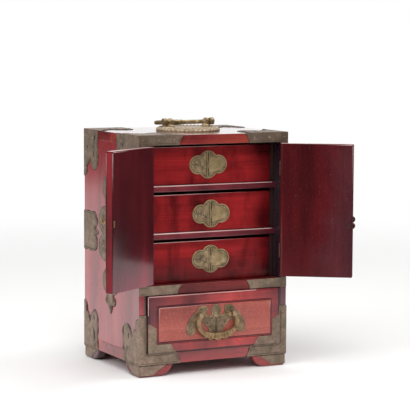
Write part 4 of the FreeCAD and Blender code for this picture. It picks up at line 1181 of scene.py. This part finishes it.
# drawer plates: a smooth tongue on the right, an engraved sprig on the left, slots and pin holes
sprig = {
    "stem": ((-3, -5), (-7, -3.5), (-11, -0.5), (-15, 0.5), (-19, -1)),
    "leaves": ((-6.5, -3.6, 70, 4.6), (-9, -1.8, 150, 5.2), (-12, -0.2, 60, 4.8), (-12.5, -0.4, 215, 5.0),
               (-15.5, 0.4, 130, 4.4), (-16, 0.3, 250, 4.0), (-7.5, -3.2, 260, 4.0)),  # root, angle, length
    "lineRadius": 0.24 * mm,
    "veinRadius": 0.3 * mm,
    "veinShares": (0.2, 0.5, 0.85),
    "slots": ((4.0, 13.0), (-13.0, -4.5)),
    "slotRadius": 0.8 * mm,
    "slotSunk": 0.1 * mm,
    "holes": ((-6.5, -9.2), (-19, 0.5), (-5.5, 10)),
    "holeRadius": 0.75 * mm,
    "holeSunk": 0.2 * mm,
    "tongue": (1.4, 19.6, 8.4),  # from the crease to the tip, half height, in millimetres
    "tongueRise": 0.55 * mm,
    "tongueRings": ((1.0, 0.0), (0.94, 0.55), (0.8, 0.85), (0.5, 1.0)),  # share of the outline and of the rise
    "tongueSteps": 24,
}


def dressPlate(drawer):
    low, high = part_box(f"{drawer}_drawer_plate")
    middle = (low + high) / 2
    body = f"{drawer}_drawer"

    def onPlate(point, lift=0.0):
        return Vector((middle.x + point[0] * mm, low.y - lift, middle.z + point[1] * mm))

    lines, veins = [([onPlate(point) for point in sprig["stem"]], False)], []
    for x, z, angle, length in sprig["leaves"]:
        lines.append(([onPlate(point) for point in almond((x, z), angle, length)], True))
        way = heading(angle) * length
        veins.append(([onPlate(Vector((x, z)) + way * share) for share in sprig["veinShares"]], False))
    addLines(f"{drawer}_plate_sprig", lines, sprig["lineRadius"], body=body)
    # the pale veins are painted highlights along the engraving
    addLines(f"{drawer}_plate_veins", veins, sprig["veinRadius"], "rimBrass", body)
    # the slots and pin holes are dark marks: painted shade inside them
    slots = [([onPlate((0, up), -sprig["slotSunk"]) for up in slot], False) for slot in sprig["slots"]]
    addLines(f"{drawer}_plate_slots", slots, sprig["slotRadius"], body=body)
    spots = [(onPlate(point, -sprig["holeSunk"]), faces["front"][0]) for point in sprig["holes"]]
    driveNails(f"{drawer}_plate_holes", spots, body, sprig["holeRadius"], "incisedBrass")
    near, tip, tall = sprig["tongue"]
    steps = sprig["tongueSteps"]
    shape = bmesh.new()
    rings = []
    for share, rise in sprig["tongueRings"]:
        ways = [heading(180 * step / steps - 90) * share for step in range(steps + 1)]
        spots = [onPlate((near + (tip - near) * way.x, tall * way.y), rise * sprig["tongueRise"]) for way in ways]
        rings.append([shape.verts.new(spot) for spot in spots])
    skinRows(shape, rings, closed=False)
    for edge in (rings[-1], rings[0], [ring[0] for ring in rings] + [ring[-1] for ring in reversed(rings)]):
        shape.faces.new(edge)
    addPiece(f"{drawer}_plate_tongue", shape, "tongueBrass", body)


for drawer in smallDrawers:
    dressPlate(drawer)
print("drawer plates chased")

# the bat's ridges and the bail's carving, in shares of half the width and of the height
batLines = {
    "radius": 0.55 * mm,
    "boss": (0, 0.66),
    "bossRadius": 3.0 * mm,
    "bossRise": 1.3 * mm,
    "pits": ((0.2, 0.3), (0.3, 0.42), (0.13, 0.56), (0.5, 0.86), (0.66, 0.3)),
    "pitRadius": 1.0 * mm,
    "pitSunk": 0.25 * mm,
    "ridges": (((0, 0.08), (0, 0.3), (0, 0.55), (0, 0.72)),
               ((0.3, 0.88), (0.42, 0.72), (0.6, 0.66), (0.78, 0.48), (0.88, 0.2)),
               ((0.36, 0.62), (0.55, 0.55), (0.72, 0.42), (0.8, 0.2)),
               ((0.06, 0.2), (0.14, 0.38), (0.22, 0.52), (0.34, 0.56)),
               ((0.05, 0.8), (0.08, 0.88), (0.05, 0.94), (0, 0.96))),
}
bailLines = {
    "radius": 0.28 * mm,
    "sunk": 0.1 * mm,
    "cuts": (((0.19, -0.87), (0.15, -0.7)), ((0.5, -0.82), (0.42, -0.67)), ((0.73, -0.7), (0.62, -0.6)),
             ((0.34, -0.9), (0.28, -0.7)), ((0.62, -0.8), (0.53, -0.65))),
    "coils": (18.9, 20.2, 21.5),  # places along the pin, in millimetres
    "coilRing": 2.35 * mm,
    "coilRadius": 0.6 * mm,
    "coilSteps": 20,
}


def mirrored(paths):
    both = []
    for path in paths:
        both += [path, [(-across, up) for across, up in path]]
    return both


def chaseBat():
    low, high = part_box("base_drawer_bat_plate")

    def onBat(across, up):
        return Vector((across * high.x, low.y, low.z + up * (high.z - low.z)))

    def landOnBat(across, up):
        spot = onBat(across, up)
        return landing("base_drawer_bat_plate", "front", spot.x, spot.z)

    lines = [([onBat(*place) for place in path], False) for path in mirrored(batLines["ridges"])]
    addLines("bat_ridges", lines, batLines["radius"], "plateBrass", "base_drawer")
    # the pits are dark domes: painted shade in the piercings
    found = [landOnBat(*place) for path in mirrored([batLines["pits"]]) for place in path]
    spots = [(spot[0] - spot[1] * batLines["pitSunk"], spot[1]) for spot in found if spot]
    driveNails("bat_pits", spots, "base_drawer", batLines["pitRadius"], "incisedBrass")
    shape = bmesh.new()
    profile = [(0, -nails["sunk"])] + nailProfile(batLines["bossRadius"], batLines["bossRise"])
    turnedInto(shape, profile, *landOnBat(*batLines["boss"]))
    addPiece("bat_head", shape, "plateBrass", "base_drawer")


def carveBail():
    low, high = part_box("base_drawer_bail")
    pivot = Vector(joints["base_bail_swing"]["pos_m"])
    drop = pivot.z - low.z
    lines = []
    for path in mirrored(bailLines["cuts"]):
        points = [Vector((across * high.x, low.y + bailLines["sunk"], pivot.z + up * drop)) for across, up in path]
        lines.append((points, False))
    addLines("bail_cuts", lines, bailLines["radius"], "incisedBrass", "base_bail")
    coils = []
    for across in bailLines["coils"]:
        for _, side in sides:
            centre = Vector((side * across * mm, pivot.y, pivot.z))
            spokes = [spoke * bailLines["coilRing"] for spoke in circle(bailLines["coilSteps"])]
            coils.append(([centre + Vector((0, *spoke)) for spoke in spokes], True))
    # the coils' pale brass is painted highlight
    addLines("bail_coils", coils, bailLines["coilRadius"], "rimBrass", "base_bail", 2)


chaseBat()
carveBail()
print("bat and bail carved")

# the carrying handle: fluted plate, studs, collars and a bead in the middle of the grip
handle = {
    "flutes": 44,
    "fluteRadius": 1.5 * mm,
    "fluteSunk": 0.7 * mm,
    "fluteShares": (0.8, 0.86, 0.91, 0.955, 0.985),  # of the plate's radius
    "studs": 14,
    "studTurn": 0.25,  # of the angle between two studs
    "studShare": 0.92,
    "studRadius": 1.6 * mm,
    "beadProfile": ((2.5, -7.5), (3.0, -7.0), (3.0, -6.2), (2.5, -5.8), (2.95, -3.0), (3.1, 0.0), (2.95, 3.0),
                    (2.5, 5.8), (3.0, 6.2), (3.0, 7.0), (2.5, 7.5)),  # radius and place along the grip
    "collarProfile": ((3.7, -0.4), (4.15, 0.1), (4.15, 0.9), (3.7, 1.4)),
    "collars": (0.4, 3.0),  # places along each eye, in millimetres
}


def dressHandle():
    low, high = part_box("handle_plate")
    middle = (low + high) / 2
    rim = high.x - middle.x

    def onPlate(spoke, share):
        return landing("handle_plate", "top", middle.x + spoke.x * rim * share, middle.y + spoke.y * rim * share)

    lines = []
    for spoke in circle(handle["flutes"]):
        spots = [onPlate(spoke, share) for share in handle["fluteShares"]]
        lines.append(([spot - out * handle["fluteSunk"] for spot, out in spots], False))
    addLines("handle_plate_flutes", lines, handle["fluteRadius"], "domeBrass")
    spots = []
    for step in range(handle["studs"]):
        spots.append(onPlate(heading(360 * (step + handle["studTurn"]) / handle["studs"]), handle["studShare"]))
    driveNails("handle_plate_studs", spots, "carcass", handle["studRadius"], "rimBrass")
    pivot = Vector(joints["carry_handle_swing"]["pos_m"])
    grip = next(mount for mount in frame["record"]["mounts"] if mount["name"] == "handle_grip")
    bead, collar = ([(radius * mm, along * mm) for radius, along in (*handle[key], handle[key][0])]
                    for key in ("beadProfile", "collarProfile"))
    shape = bmesh.new()
    turnedInto(shape, bead, Vector(grip["pos_m"]), axisX)
    low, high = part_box("carry_handle")
    for side, end in ((-1, low.x), (1, high.x)):
        for along in handle["collars"]:
            turnedInto(shape, collar, Vector((end - side * along * mm, pivot.y, pivot.z)), -axisX * side)
    addPiece("handle_beads", shape, "gripBrass", "handle")


dressHandle()
print("handle dressed")
